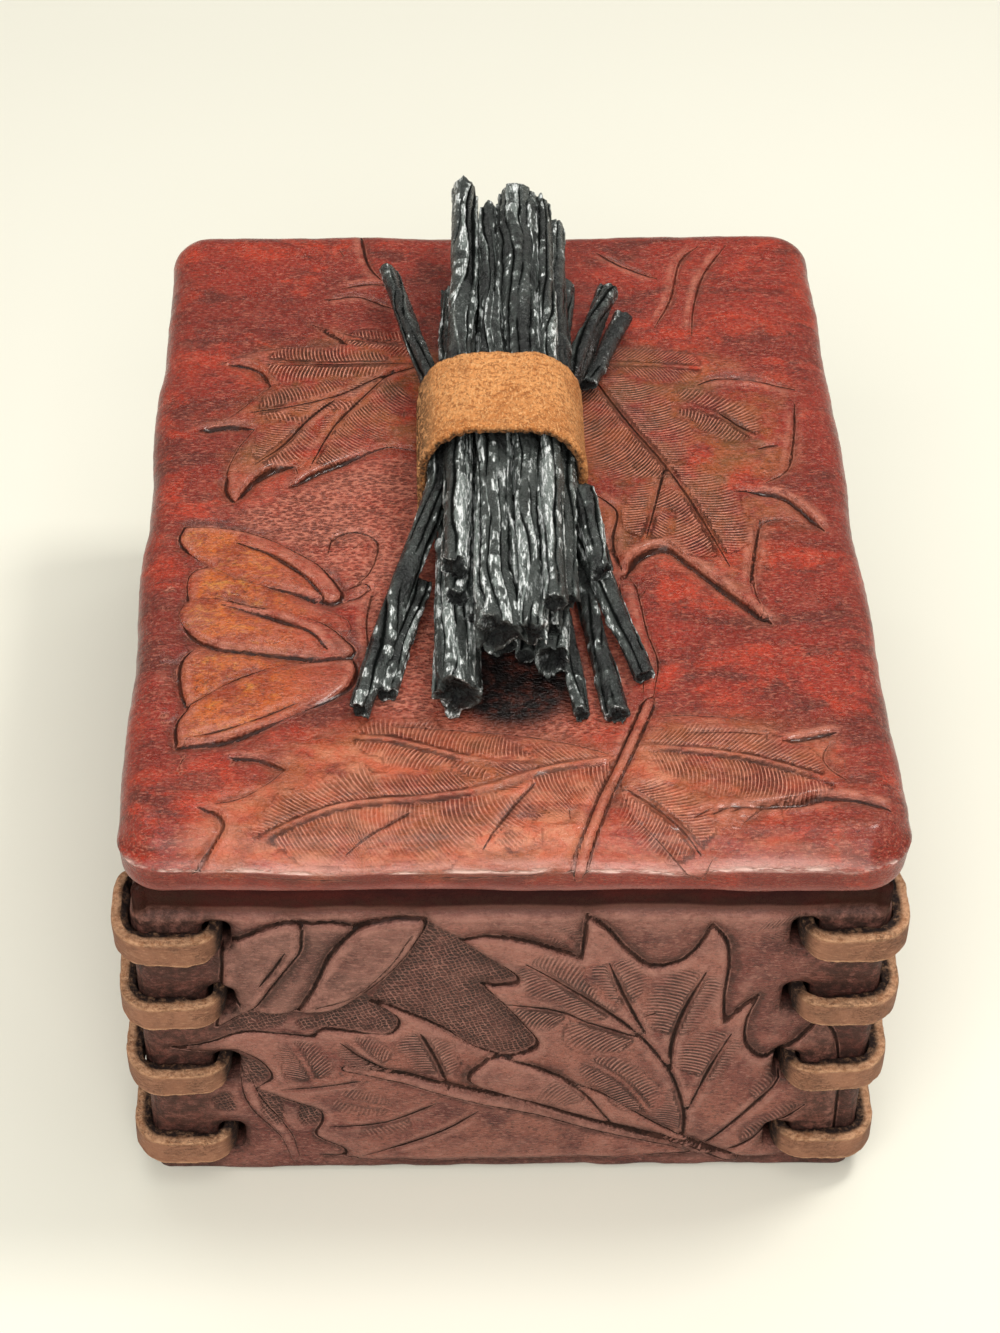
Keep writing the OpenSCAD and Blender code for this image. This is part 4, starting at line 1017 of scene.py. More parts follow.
    R.hatch(v3, -1, d1=6.0, t0=-0.04, t1=0.62, lean=-0.3, pitch=0.92, amp=1.3, seed=124)
    R.hatch(v3, 1, d1=3.6, t0=-0.02, t1=0.62, lean=-0.3, pitch=0.92, amp=1.1, seed=134)
    R.hatch(v4, -1, d1=5.6, t0=0.08, t1=0.46, lean=-0.7, pitch=0.92, amp=1.2, seed=125)
    R.hatch(v4, -1, d1=6.0, t0=0.50, t1=1.0, lean=-0.7, pitch=0.92, amp=1.2, seed=135)
    R.hatch(v5, -1, d1=5.8, t0=-0.04, t1=0.56, lean=-0.3, pitch=0.92, amp=1.3, seed=126)
    R.hatch(v5, 1, d1=2.6, t0=0.0, t1=0.6, lean=-0.3, pitch=0.92, amp=0.8, seed=136)
    R.hatch([(12.4, 30.4), (17.6, 26), (21.6, 20.4), (23.6, 16.4)], 0, d1=4.0, t0=0.0, t1=1.0, lean=-0.35, pitch=0.92, amp=1.25, seed=127)
    R.hatch(v8, -1, d1=5.6, t0=0.0, t1=0.5, lean=-0.2, pitch=0.92, amp=0.75, seed=128)
    R.hatch(v1, -1, d1=4.8, t0=0.74, t1=0.96, lean=-0.6, pitch=0.92, amp=0.85, seed=129)
    R.hatch(v6, -1, d1=3.6, t0=0.0, t1=0.40, lean=-0.5, pitch=0.92, amp=0.85, seed=130)
    R.hatch(v7, -1, d1=3.6, t0=0.0, t1=0.8, lean=-0.5, pitch=0.92, amp=1.0, seed=131)
    R.hatch([(6, 62), (9, 59), (9.6, 57)], 0, d1=2.2, t0=0.02, t1=0.98, lean=0.7, amp=0.6, seed=132)
    R.hatch([(37.4, 60.4), (42, 61.6), (47, 62.4)], 0, d1=2.4, t0=0.02, t1=0.98, lean=1.2, amp=0.8, seed=133)
    for v in (v1, v3):
        R.cut(v, w=0.5, depth=0.5, lip=0.14, ends=(0.3, 0.02))
    for v in (v2, v4, v5, v6, v7, v8):
        R.cut(v, w=0.42, depth=0.42, lip=0.12, ends=(0.35, 0.04))
    R.cut([(21, 41), (24, 42.4)], w=0.3, depth=0.25)
    # the stem across
    R.ridge([(-26, 28), (-15, 24.2), (-4, 19.4), (3.6, 17), (16.6, 11.4), (30.6, 6), (38.8, 2)], w=1.0, height=0.65, groove=0.4, dark=0.95, gw=0.36, ends=(0.25, 0.02))
    R.cut([(-26, 30), (-15, 25.9), (-4, 21.1), (3.6, 18.7), (16.6, 13.1), (30.6, 7.6)], w=0.34, depth=0.2, lip=0.0, bevel=0.25, side=1, bw=1.2, wash_and_shade=0.9, ends=(0.2, 0.1))
    R.tidy()
    return R


def carve_plain(kind, half):
    """Sides and back: lobed leaves on a bent stem, in the manner of the front."""
    R = Relief(-half - 6, half + 6, -6, 78, 0.4)
    if kind == "back":
        R.ground([(-16, 52), (0, 56), (12, 46), (2, 38), (-12, 40)], "ms", 1.0, 0.4, 0.8)
        R.ground([(-42, 20), (-30, 24), (-26, 14), (-38, 10)], "ms", 1.0, 0.35, 0.8)
        free_leaf(R, (-2, 22), math.radians(152), 44, 301, 0.7, 0.42)
        free_leaf(R, (4, 24), math.radians(28), 44, 302, 0.7, 0.44)
        free_leaf(R, (10, 14), math.radians(-8), 32, 303, 0.7, 0.36, lobes=2)
        R.ridge([(-30, 5), (-12, 12), (2, 22), (8, 30)], w=1.0, height=0.6, groove=0.4, dark=0.95, gw=0.36)
    elif kind == "left":
        R.ground([(-20, 56), (-6, 60), (4, 50), (-4, 40), (-18, 44)], "ms", 1.0, 0.4, 0.8)
        R.ground([(24, 20), (36, 24), (42, 14), (30, 8)], "ms", 1.0, 0.35, 0.8)
        free_leaf(R, (-14, 30), math.radians(168), 46, 311, 0.7, 0.40)
        free_leaf(R, (6, 30), math.radians(20), 54, 312, 0.7, 0.42)
        free_leaf(R, (-8, 22), math.radians(-160), 34, 313, 0.7, 0.34, lobes=2)
        free_leaf(R, (0, 20), math.radians(-22), 34, 314, 0.7, 0.34, lobes=2)
        R.ridge([(-40, 6), (-22, 10), (-6, 20), (4, 34), (6, 52)], w=1.1, height=0.6, groove=0.4, dark=0.95, gw=0.36)
    else:
        R.ground([(6, 58), (20, 58), (24, 46), (12, 40), (2, 46)], "ms", 1.0, 0.4, 0.8)
        R.ground([(-44, 26), (-32, 28), (-28, 16), (-40, 12)], "ms", 1.0, 0.35, 0.8)
        free_leaf(R, (12, 28), math.radians(14), 48, 321, 0.7, 0.42)
        free_leaf(R, (-8, 30), math.radians(158), 52, 322, 0.7, 0.42)
        free_leaf(R, (8, 20), math.radians(-24), 34, 323, 0.7, 0.34, lobes=2)
        free_leaf(R, (-4, 20), math.radians(200), 36, 324, 0.7, 0.34, lobes=2)
        R.ridge([(40, 6), (22, 11), (6, 20), (-4, 34), (-8, 54)], w=1.1, height=0.6, groove=0.4, dark=0.95, gw=0.36)
    R.tidy()
    return R


def build_wall(name, node, kind, half, depth, turn, p):
    """half is half the outer length, depth the distance of the outer face from the middle, turn the angle about Z."""
    R = carve_front() if kind == "front" else carve_plain(kind, half)
    H, T, rc = 71.3, 6.0, 3.0
    seed = {"front": 1, "right": 2, "back": 3, "left": 4}[kind]
    R.h += 0.22 * fbm(R.X / 18, R.Y / 16, 200 + seed, 3) + 0.07 * fbm(R.X / 4.0, R.Y / 4.0, 210 + seed, 3) + 0.03 * fbm(R.X / 1.5, R.Y / 1.3, 220 + seed, 2)
    R.h += R.ms * 0.10 * vnoise(R.X / 0.8, R.Y / 0.8, 231)
    # the carved sheet stops short of the lid, with an uneven upper edge
    brim = 65.0 + 0.6 * fbm(R.X / 11, R.X * 0, 270 + seed, 3)
    step = smooth(-0.35, 0.35, R.Y - brim)
    # a painted highlight along the top edge of the sheet
    R.rub = np.maximum(R.rub, 0.9 * np.exp(-((brim - 0.7 - R.Y) / 0.5) ** 2))
    R.h -= 0.45 * np.exp(-np.maximum(brim - R.Y, 0) / 0.55) * (R.Y < brim + 0.2) * (1 - step)
    R.h = R.h * (1 - step) - 1.45 * step
    R.hollows()
    arc = rc * math.pi / 4
    S = half - rc + arc
    nx, ny = int(2 * S / p) + 1, int(H / p) + 1
    X, Z = np.meshgrid(np.linspace(-S, S, nx), np.linspace(0, H, ny))
    X, Z = X.copy(), Z.copy()
    # lace holes: move the nearest points on to their edges
    hx, hw, hh, hr = half - 10.9 - 2.3, 2.3, 3.5, 1.8

    def holes(x, z):
        best = np.full(x.shape, 1e9)
        for s in (-1, 1):
            for c in HOLE_Z:
                best = np.minimum(best, np.hypot(np.maximum(np.abs(x - s * hx) - (hw - hr), 0), np.maximum(np.abs(z - c) - (hh - hr), 0)) - hr)
        return best

    sd = holes(X, Z)

    def snap(mask):
        for s in (-1, 1):
            for c in HOLE_Z:
                k = mask & (np.abs(X - s * hx) < 5) & (np.abs(Z - c) < 6)
                xc = np.clip(X[k] - s * hx, -(hw - hr), hw - hr) + s * hx
                zc = np.clip(Z[k] - c, -(hh - hr), hh - hr) + c
                dx, dz = X[k] - xc, Z[k] - zc
                l = np.maximum(np.hypot(dx, dz), 1e-6)
                X[k], Z[k] = xc + dx / l * hr, zc + dz / l * hr

    snap((np.abs(sd) < 0.62 * p) & (Z > 0.01) & (Z < H - 0.01))
    sd = np.where(np.abs(sd) < 0.62 * p, 0.0, sd)
    q = grid_quads(ny, nx)
    keep = (sd.ravel()[q] > 1e-6).any(1)
    q = q[keep]
    used = np.zeros(nx * ny, bool)
    used[q.ravel()] = True
    late = used.reshape(ny, nx) & (sd < -1e-6)
    snap(late)
    # points that landed in one place move apart a little
    X0, Z0 = np.meshgrid(np.linspace(-S, S, nx), np.linspace(0, H, ny))
    _, inv, cnt = np.unique(np.round(np.stack([X.ravel(), Z.ravel()], 1), 4), axis=0, return_inverse=True, return_counts=True)
    twin = (cnt[np.ravel(inv)] > 1).reshape(X.shape)
    X[twin] += 0.08 * (X0 - X)[twin]
    Z[twin] += 0.08 * (Z0 - Z)[twin]
    sdist = np.maximum(holes(X, Z), 0)
    # outer face
    h = R.at("h", X, Z)
    h = np.clip(h, -1.7, 1.0)
    fade = smooth(0, 2.6, S - np.abs(X))
    corner = 0.25 * vnoise(Z / 9.0, X * 0 + np.sign(X) * (3 if kind in ("front", "back") else -3) * 0 + 5.0, 240)
    h = h * fade + corner * (1 - fade)
    h = h - 0.95 * np.exp(-(sdist / 1.1) ** 1.3) * fade
    # rounded top and bottom arrises
    rr = 1.3
    top = np.minimum(H - Z, Z)
    h = h - np.where(top < rr, rr - np.sqrt(np.maximum(rr * rr - (rr - top) ** 2, 0)), 0)
    a = np.clip((np.abs(X) - (half - rc)) / rc, 0, None)
    flat = np.abs(X) <= half - rc
    ox = np.where(flat, X, np.sign(X) * (half - rc + (rc + h) * np.sin(a)))
    oy = np.where(flat, -depth - h, -(depth - rc) - (rc + h) * np.cos(a))
    oz = Z + smooth(7, 0, Z) * 0.45 * np.clip(vnoise(X / 6.0, Z * 0, 250 + seed) + 0.2, 0, 1)
    oz = np.where(Z <= 0, oz, oz)
    # inner face
    ix = np.where(np.abs(X) > half - 10, np.sign(X) * ((half - 10) + (np.abs(X) - (half - 10)) * (10 - T) / (S - (half - 10))), X)
    iy = np.full(X.shape, -(depth - T)) - 0.12 * np.clip(fbm(X / 6, Z / 6, 260 + seed, 3), 0, 1)
    outer = np.stack([ox, oy, oz], -1).reshape(-1, 3)
    inner = np.stack([ix, iy, Z], -1).reshape(-1, 3)
    new = -np.ones(nx * ny, int)
    new[used] = np.arange(used.sum())
    nu = used.sum()
    V = np.vstack([outer[used], inner[used]])
    qo = new[q]
    qi = qo[:, ::-1] + nu
    # edges that belong to one face only
    E = np.concatenate([qo[:, [k, (k + 1) % 4]] for k in range(4)])
    key = np.sort(E, 1)
    _, first, count = np.unique(key[:, 0].astype(np.int64) * 10 ** 7 + key[:, 1], return_index=True, return_counts=True)
    B = E[first[count == 1]]
    qb = np.stack([B[:, 1], B[:, 0], B[:, 0] + nu, B[:, 1] + nu], 1)
    # pack: outer above, inner below, edge strips in cells on the right
    sc = 0.9 / max(2 * S, 2 * H + 6)
    uo = np.stack([(X.ravel()[used] + S) * sc, 0.01 + (Z.ravel()[used] + H + 4) * sc], 1)
    ui = np.stack([(X.ravel()[used] + S) * sc, 0.01 + Z.ravel()[used] * sc], 1)
    cols = int(math.ceil(len(B) / 300.0))
    ku, kv = np.arange(len(B)) // 300, np.arange(len(B)) % 300
    wq, hq = 0.09 / max(cols, 1), 1.0 / 300
    u0, v0 = 0.905 + ku * wq, kv * hq
    cell = np.stack([np.stack([u0, v0], 1), np.stack([u0, v0 + hq * 0.9], 1), np.stack([u0 + wq * 0.9, v0 + hq * 0.9], 1), np.stack([u0 + wq * 0.9, v0], 1)], 1)
    quv = np.concatenate([uo[qo], ui[qo][:, ::-1], cell])
    ca, sa = math.cos(turn), math.sin(turn)
    V = np.stack([ca * V[:, 0] - sa * V[:, 1], sa * V[:, 0] + ca * V[:, 1], V[:, 2]], 1)
    attrs = {}
    for k in LOOK:
        f = R.at(k, X, Z).ravel()[used]
        z = np.full(nu, 3.0) if k == "lf" else np.zeros(nu)
        attrs[k] = np.concatenate([f, z])
    # painted shade round the lace holes
    painted_shade = np.exp(-sdist.ravel()[used] / 1.3)
    # painted shade along the laces, most of it above them
    xs, zs = X.ravel()[used], Z.ravel()[used]
    for c in HOLE_Z:
        run = smooth(half - 16.5, half - 11.5, np.abs(xs))
        above = np.exp(-np.maximum(zs - c - 4.2, 0) / 1.6) * (zs > c)
        below = np.exp(-np.maximum(c - 2.4 - zs, 0) / 0.9) * (zs <= c)
        painted_shade = np.maximum(painted_shade, run * np.maximum(1.0 * above, 0.8 * below))
    # painted shade towards the corners
    painted_shade = np.maximum(painted_shade, 0.85 * smooth(half - 15, half - 8, np.abs(xs)))
    # gap: the strip above the carved sheet, painted dark as the shadow under the lid
    gap = smooth(-0.3, 0.5, zs - np.interp(xs, R.xs, brim[0]))
    attrs["cav"][:nu] = np.maximum(attrs["cav"][:nu], 1.0 * painted_shade)
    attrs["cav"][:nu] = np.maximum(attrs["cav"][:nu], 0.55 * smooth(3, 0, Z.ravel()[used]))
    attrs["gap"] = np.concatenate([gap, np.zeros(nu)])
    for k in ("leaf", "rub", "st", "ms", "am", "pet"):
        attrs[k][:nu] *= 1 - gap
    attrs["lf"][:nu] = np.maximum(attrs["lf"][:nu], 3.0 * gap)
    # the inner face is darkened all over and gets the same painted shade
    attrs["cav"][nu:] = np.maximum(0.3, 0.9 * painted_shade)
    me = make_mesh(name, V, np.vstack([qo, qi, qb]), (), attrs, quv)
    return add(name, me, MAT_WALL, "box", [node])


# ------------------------------------------------------------------ tubes and strips

def sweep(name, rings, mat, attrs=None, close_path=False, caps=True):
    """rings is (n, m, 3): closed sections along a path. Ends are closed with one face each."""
    n, m = rings.shape[:2]
    V = rings.reshape(-1, 3)
    quads = grid_quads(n, m, wrap=True)
    if close_path:
        last = np.stack([(n - 1) * m + np.arange(m), (n - 1) * m + (np.arange(m) + 1) % m, (np.arange(m) + 1) % m, np.arange(m)], 1)
        quads = np.vstack([quads, last])
    L = np.concatenate([[0], np.cumsum(np.linalg.norm(np.diff(rings, axis=0), axis=2).mean(1))])
    if close_path:
        L = np.append(L, L[-1] + np.linalg.norm(rings[0] - rings[-1], axis=1).mean())
    v = L / L[-1]
    j, i = np.divmod(np.arange(len(quads)), m)
    quv = np.stack([np.stack([i / m, v[j]], 1), np.stack([(i + 1) / m, v[j]], 1), np.stack([(i + 1) / m, v[j + 1]], 1), np.stack([i / m, v[j + 1]], 1)], 1) * 0.96 + 0.02
    ngons, nuv = [], []
    if caps and not close_path:
        a = np.linspace(0, 2 * math.pi, m, endpoint=False)
        for ring, base in ((np.arange(m)[::-1], 0.0), ((n - 1) * m + np.arange(m), 0.0)):
            ngons.append(ring)
            nuv.append(np.stack([0.005 + 0.004 * np.cos(a), 0.005 + 0.004 * np.sin(a)], 1))
    return make_mesh(name, V, quads, ngons, attrs, quv, nuv)


# sticks: a dark bark with ridges, dry-brushed pale along the crests, with white streaks that are partly paint and
# partly painted highlight, and white flecks painted as glints
def stick_material():
    n = Nodes("charred_bark")
    crest, end, ash, deep = n.attr("crest"), n.attr("end"), n.attr("ash"), n.attr("deep")
    base = n.mix(n.mapr(n.noise(3, 4, 0.6), 0.35, 0.65), (0.008, 0.0090, 0.0086), (0.028, 0.031, 0.0290))
    base = n.mix(n.mapr(n.noise(9, 3, 0.6), 0.60, 0.75, 0.0, 0.4), base, (0.045, 0.034, 0.024))
    patch = n.noise(6, 4, 0.7, stretch=(0.8, 2.4, 0.8))
    fine = n.noise(0.42, 4, 0.75, stretch=(1, 7, 1))
    amount = n.math("ADD", n.math("ADD", patch, n.math("MULTIPLY", fine, 0.4)), n.math("ADD", n.math("MULTIPLY", crest, 0.45), n.math("MULTIPLY", ash, 0.19)))
    base = n.mix(n.mapr(amount, 0.64, 0.98, 0.0, 0.95), base, (0.056, 0.066, 0.060))
    base = n.mix(n.mapr(amount, 0.94, 1.20, 0.0, 0.85), base, (0.225, 0.258, 0.240))
    # white streaks along the crests: partly dry-brushed paint, partly painted highlight
    streak = n.math("MULTIPLY", n.mapr(fine, 0.50, 0.58), n.mapr(amount, 0.97, 1.11))
    base = n.mix(streak, base, (0.92, 0.95, 0.935))
    # white flecks painted as glints
    painted_glint = n.math("MULTIPLY", n.mapr(n.noise(0.6, 4, 0.75, distort=1.0), 0.60, 0.66), n.mapr(patch, 0.52, 0.62, 0.0, 0.95))
    base = n.mix(painted_glint, base, (0.74, 0.77, 0.755))
    base = n.mix(n.mapr(deep, 0.15, 0.85, 0.0, 0.95), base, (0.0025, 0.003, 0.0028))
    base = n.mix(n.math("MULTIPLY", end, n.mapr(n.noise(0.9, 4, 0.7), 0.36, 0.58, 1.0, 0.55)), base, (0.004, 0.004, 0.0045))
    h = n.math("ADD", n.math("MULTIPLY", n.noise(0.5, 4, 0.7), 1.0), n.math("MULTIPLY", n.noise(1.3, 4, 0.65, stretch=(1, 4, 1)), 1.2))
    nrm = n.bump(h, 0.50, 1.0)
    rough = n.mapr(n.noise(2.5, 3, 0.6), 0.3, 0.7, 0.14, 0.36, "LINEAR")
    return n.done(base, rough, nrm, Specular_IOR_Level=n.mapr(deep, 0.1, 0.7, 0.6, 0.03))


MAT_STICK = stick_material()


def bark_stick(name, node, pts, rad, seed, hollow=(1.0, 1.0), jag=(0.5, 0.5), ridges=None, knots=2):
    """A broken stick through the points: long plates of bark at different heights with grooves between them, blisters, knots and torn ends."""
    rng = np.random.RandomState(seed)
    pts = np.array(pts, float)
    rad = np.array(rad, float)
    seg = np.linalg.norm(np.diff(pts, axis=0), axis=1)
    cum = np.concatenate([[0], np.cumsum(seg)])
    L = cum[-1]
    rmax = rad.max()
    k1 = ridges or int(np.clip(round(2 * math.pi * rmax / 1.9), 6, 11))
    per = 8
    m = k1 * per
    n = int(L / 0.5) + 1
    s = np.linspace(0, L, n)
    P = np.stack([np.interp(s, cum, pts[:, k]) for k in range(3)], 1)
    if len(pts) > 2:                                  # soften bends
        for _ in range(16):
            P[1:-1] = 0.25 * P[:-2] + 0.5 * P[1:-1] + 0.25 * P[2:]
    r = 1.14 * np.interp(s, cum, rad) + 0.28
    T = np.gradient(P, axis=0)
    T /= np.linalg.norm(T, axis=1)[:, None]
    up = np.array([0.0, 0.0, 1.0])
    U = np.cross(up, T)
    U /= np.linalg.norm(U, axis=1)[:, None]
    W = np.cross(T, U)
    # a slight wander of the axis
    P = P + 0.22 * vnoise(s / 17, s * 0, seed + 60)[:, None] * U + 0.16 * vnoise(s / 13, s * 0, seed + 61)[:, None] * W
    col = np.arange(m)
    tt = np.broadcast_to(col / m, (n, m))
    ss = np.broadcast_to(s[:, None], (n, m))
    cell = np.broadcast_to(col // per, (n, m)).astype(float)
    f = np.broadcast_to((col % per) / per, (n, m))
    wide = 2 * math.pi / k1
    th = 2 * math.pi * tt + wide * (0.9 * vnoise(ss / 30, ss * 0, seed + 1) + 0.75 * vnoise(tt * 3, ss / 16, seed + 2, 3) + 0.16 * vnoise(tt * k1, ss / 5, seed + 9, k1))
    sq = rmax ** 0.5
    tip = np.exp(-ss / 1.6) + np.exp(-(L - ss) / 1.6)
    H = vnoise(cell, ss / 24.0 + 7.7 * cell, seed + 3, k1)
    J = smooth(-0.06, 0.06, vnoise(cell, ss / 13.0 + 3.1 * cell, seed + 4, k1))
    plate = 1 - (2 * np.abs(f - 0.5)) ** 4
    gap = np.clip(0.55 + 0.75 * vnoise(cell, ss / 10.0, seed + 5, k1), 0.12, 1.1) * (1 - 0.6 * np.clip(tip, 0, 1))
    d = 0.24 * sq * H + 0.16 * sq * (J - 0.6) - 0.42 * sq * (1 - plate) * gap
    d = d + 0.085 * sq * fbm(tt * 2 * k1, ss / 1.2, seed + 6, 3, 2 * k1)
    d = d + 0.22 * sq * np.clip(vnoise(tt * 2 * k1, ss / 2.4, seed + 8, 2 * k1) - 0.5, 0, 1)
    for _ in range(knots):
        s0, t0 = rng.uniform(0.08, 0.92) * L, rng.uniform(0, 1)
        dt = np.abs((tt - t0 + 0.5) % 1.0 - 0.5) * 2 * math.pi * rmax
        g = np.hypot(dt, (ss - s0) / 1.3)
        size = rng.uniform(0.5, 0.9) * sq
        d = d + 0.45 * np.exp(-(g / size) ** 2) * sq - 0.5 * np.exp(-(g / (0.45 * size)) ** 2)
    # what stands out of its surroundings catches the brush and the painted highlight
    stand = (d - blur(d, 2, wrap=True)) / (0.075 * sq)
    lip = smooth(0.25, 0.125, np.abs(np.abs(f - 0.5) - 0.375) * 2) * smooth(-0.15, 0.35, H) * smooth(-0.1, 0.3, vnoise(cell, ss / 9.0, seed + 12, k1))
    crest = np.clip(smooth(0.2, 1.9, stand) + 0.18 * smooth(-0.1, 0.6, H) + 0.75 * lip, 0, 1)
    deep = np.clip(np.maximum(smooth(0.5, 2.6, -stand), (1 - plate) * gap * 1.1), 0, 1)
    d = d + 0.10 * sq * vnoise(tt * 2, ss / 22.0, seed + 7, 2)
    a2, a3 = rng.uniform(0, 6), rng.uniform(0, 6)
    rr = r[:, None] * (1.0 + 0.10 * np.cos(2 * th + a2 + 0.8 * vnoise(ss / 24, ss * 0, seed + 11)) + 0.05 * np.cos(3 * th + a3)) + d
    rr = np.clip(rr, 0.35 * r[:, None], r[:, None] * 1.20 + 0.15)
    # torn ends: every plate runs out at its own length
    jg = []
    for e in (0, 1):
        a = 0.60 * vnoise(cell[0], cell[0] * 0 + 2.0, seed + 30 + e, k1) + 0.55 * vnoise(tt[0] * 9, tt[0] * 0 + 4.0, seed + 40 + e, 9) + 0.35 * vnoise(tt[0] * 23, tt[0] * 0 + 4.0, seed + 45 + e, 23)
        jg.append(jag[e] * (0.6 + 0.7 * rmax) * (a - 0.7))
    w0, w1 = np.clip(1 - s / 6.0, 0, 1)[:, None], np.clip(1 - (L - s) / 6.0, 0, 1)[:, None]
    along = -w0 ** 1.5 * jg[0][None] + w1 ** 1.5 * jg[1][None]
    C = P[:, None, :] + along[..., None] * T[:, None, :]
    rings = C + rr[..., None] * (np.cos(th)[..., None] * U[:, None, :] + np.sin(th)[..., None] * W[:, None, :])
    ash = np.clip(np.maximum(np.maximum(np.exp(-s / 3.0), np.exp(-(L - s) / 3.0)), smooth(4, -16, P[:, 1])), 0, 1)[:, None] * np.ones((n, m))
    if node.startswith("twig"):
        ash = ash - 0.9
    # end faces sink in, with splinters
    caps = []
    gs = (0.90, 0.80, 0.64, 0.44, 0.24, 0.07)
    for e in (0, 1):
        k = 0 if e == 0 else n - 1
        out = []
        for g in gs:
            cx, cz = g * rr[k] * np.cos(th[k]), g * rr[k] * np.sin(th[k])
            sunk = 1.3 * hollow[e] * (1 - g) ** 0.8 + 1.3 * fbm(cx / 1.1, cz / 1.1, seed + 50 + e, 3) * min(1.0, 3.0 * (1 - g))
            ax = (jg[e] * g ** 2 - sunk) * (1 if e == 1 else -1)
            out.append(P[k] + ax[:, None] * T[k] + (g * rr[k])[:, None] * (np.cos(th[k])[:, None] * U[k] + np.sin(th[k])[:, None] * W[k]))
        caps.append(np.array(out))
    allr = np.concatenate([caps[0][::-1], rings, caps[1]])
    z = np.ones((len(gs), m))
    inner = np.clip((0.92 - np.array(gs)) / 0.16, 0, 1)[:, None] * z
    attrs = {"crest": np.concatenate([(0.35 * (1 - inner))[::-1], crest, 0.35 * (1 - inner)]), "deep": np.concatenate([0.45 * inner[::-1], deep, 0.45 * inner]),
             "end": np.concatenate([inner[::-1], 0 * crest, inner]), "ash": np.concatenate([z, ash, z])}
    me = sweep(name, allr, MAT_STICK, attrs)
    return add(name, me, MAT_STICK, "lid", [node])


ZL = 82.0
STICKS = [
    ("stick_bottom_left", (-8.3, -54, 5.2), (-7, 52, 4.6), 3.2, 1.8, (2.4, 0.8), (0.8, 0.5)),
    ("stick_bottom_2", (-3.6, -37, 4.2), (-2.6, 55, 4.2), 1.35, 1.6, (1.2, 1.0), (0.6, 0.6)),
    ("stick_bottom_3", (-0.4, -41, 4.3), (1.8, 50, 4.3), 1.7, 2, (1.2, 1.0), (0.6, 0.6)),
    ("stick_bottom_4", (2.9, -42, 3.3), (5.4, 54, 3.3), 1.1, 1.1, (0.6, 0.6), (0.6, 0.6)),
    ("stick_bottom_right", (7.1, -46, 4.9), (8.7, 50, 4.6), 2.6, 1.7, (3.0, 1.0), (0.55, 0.5)),
    ("stick_mid_1", (-8, -36, 9.8), (-4.4, 56, 9.8), 1.5, 1.5, (0.8, 0.8), (0.8, 0.8)),
    ("stick_mid_2", (-4.4, -39, 8.4), (-1.2, 60, 8), 1.7, 1.6, (0.9, 0.8), (0.8, 0.8)),
    ("stick_mid_3", (-0.7, -38, 8.4), (2.6, 62, 8.5), 1.8, 1.7, (1.0, 0.9), (0.7, 0.7)),
    ("stick_mid_4", (3.2, -39, 8), (6.1, 60, 8), 1.9, 1.7, (1.0, 0.9), (0.7, 0.7)),
    ("stick_mid_5", (6.7, -42, 8.8), (9, 54, 7.9), 1.1, 1, (0.6, 0.5), (0.8, 0.8)),
    ("stick_top_left", (-8.4, -33, 13.5), (-4.9, 73, 13.8), 1.9, 2, (0.8, 0.7), (0.8, 0.9)),
    ("stick_top_butt_front", (-2.1, -48, 13.6), (-0.3, 67, 13.4), 3.1, 1.3, (1.8, 0.6), (0.55, 0.7)),
    ("stick_top_butt_back", (3.2, -48, 13.4), (4.8, 69, 13.8), 1.9, 3.4, (1.2, 1.2), (0.7, 0.3)),
    ("stick_top_right", (6.9, -43, 15), (9.5, 68, 14.6), 1.8, 1, (1.0, 0.4), (0.7, 0.8)),
    ("stick_side_right", (9.2, -38, 10.9), (10.9, 64, 10.6), 1.8, 2, (0.9, 0.9), (0.7, 0.7)),
]
TWIGS = [
    ("twig_front_left_long", [(-10.7, 4, 9.8), (-10.8, -8, 9.6), (-23.5, -52, 1.6)], [1.25, 1.25, 1.4]),
    ("twig_front_left_short", [(-13.4, -23.5, 3.2), (-19.4, -48.4, 1.4)], [1.1, 1.2]),
    ("twig_front_right_long", [(11.8, -14, 2.6), (16.8, -53.5, 1.6)], [1.3, 1.4]),
    ("twig_front_right_outer", [(10.7, 4, 7.4), (10.8, -8, 7.3), (21.2, -45.2, 1.6)], [1.25, 1.25, 1.3]),
    ("twig_front_right_stub", [(13, -9, 10.4), (15.5, -28, 8.2)], [1.2, 1.35]),
    ("twig_front_right_thin", [(8, -12, 1.1), (11.4, -53, 1.1)], [0.9, 0.9]),
    ("twig_back_left", [(-10.7, 5.4, 9.8), (-10.8, 17, 9.6), (-19, 58, 6)], [1.25, 1.25, 1.2]),
    ("twig_back_right_thick", [(10.7, 5.4, 7.4), (10.75, 17, 7.3), (20.8, 52, 5.5)], [1.25, 1.25, 1.9]),
    ("twig_back_right_fork", [(15.6, 27, 3.6), (23.7, 48.5, 2.8)], [1.2, 1.2]),
    ("twig_back_right_stub", [(11.2, 29, 7), (12.6, 52, 6.6)], [1, 1.5]),
]


def build_sticks():
    for k, (name, a, b, ra, rb, hol, jag) in enumerate(STICKS):
        bark_stick("bark_" + name, name, [(a[0], a[1], a[2] + ZL), (b[0], b[1], b[2] + ZL)], [ra, rb], 400 + 7 * k, hol, jag)
    for k, (name, pts, rad) in enumerate(TWIGS):
        bark_stick("bark_" + name, name, [(x, y, z + ZL) for x, y, z in pts], rad, 600 + 7 * k, (0.5, 0.5), (0.5, 0.6), ridges=5, knots=3)


# ------------------------------------------------------------------ suede band

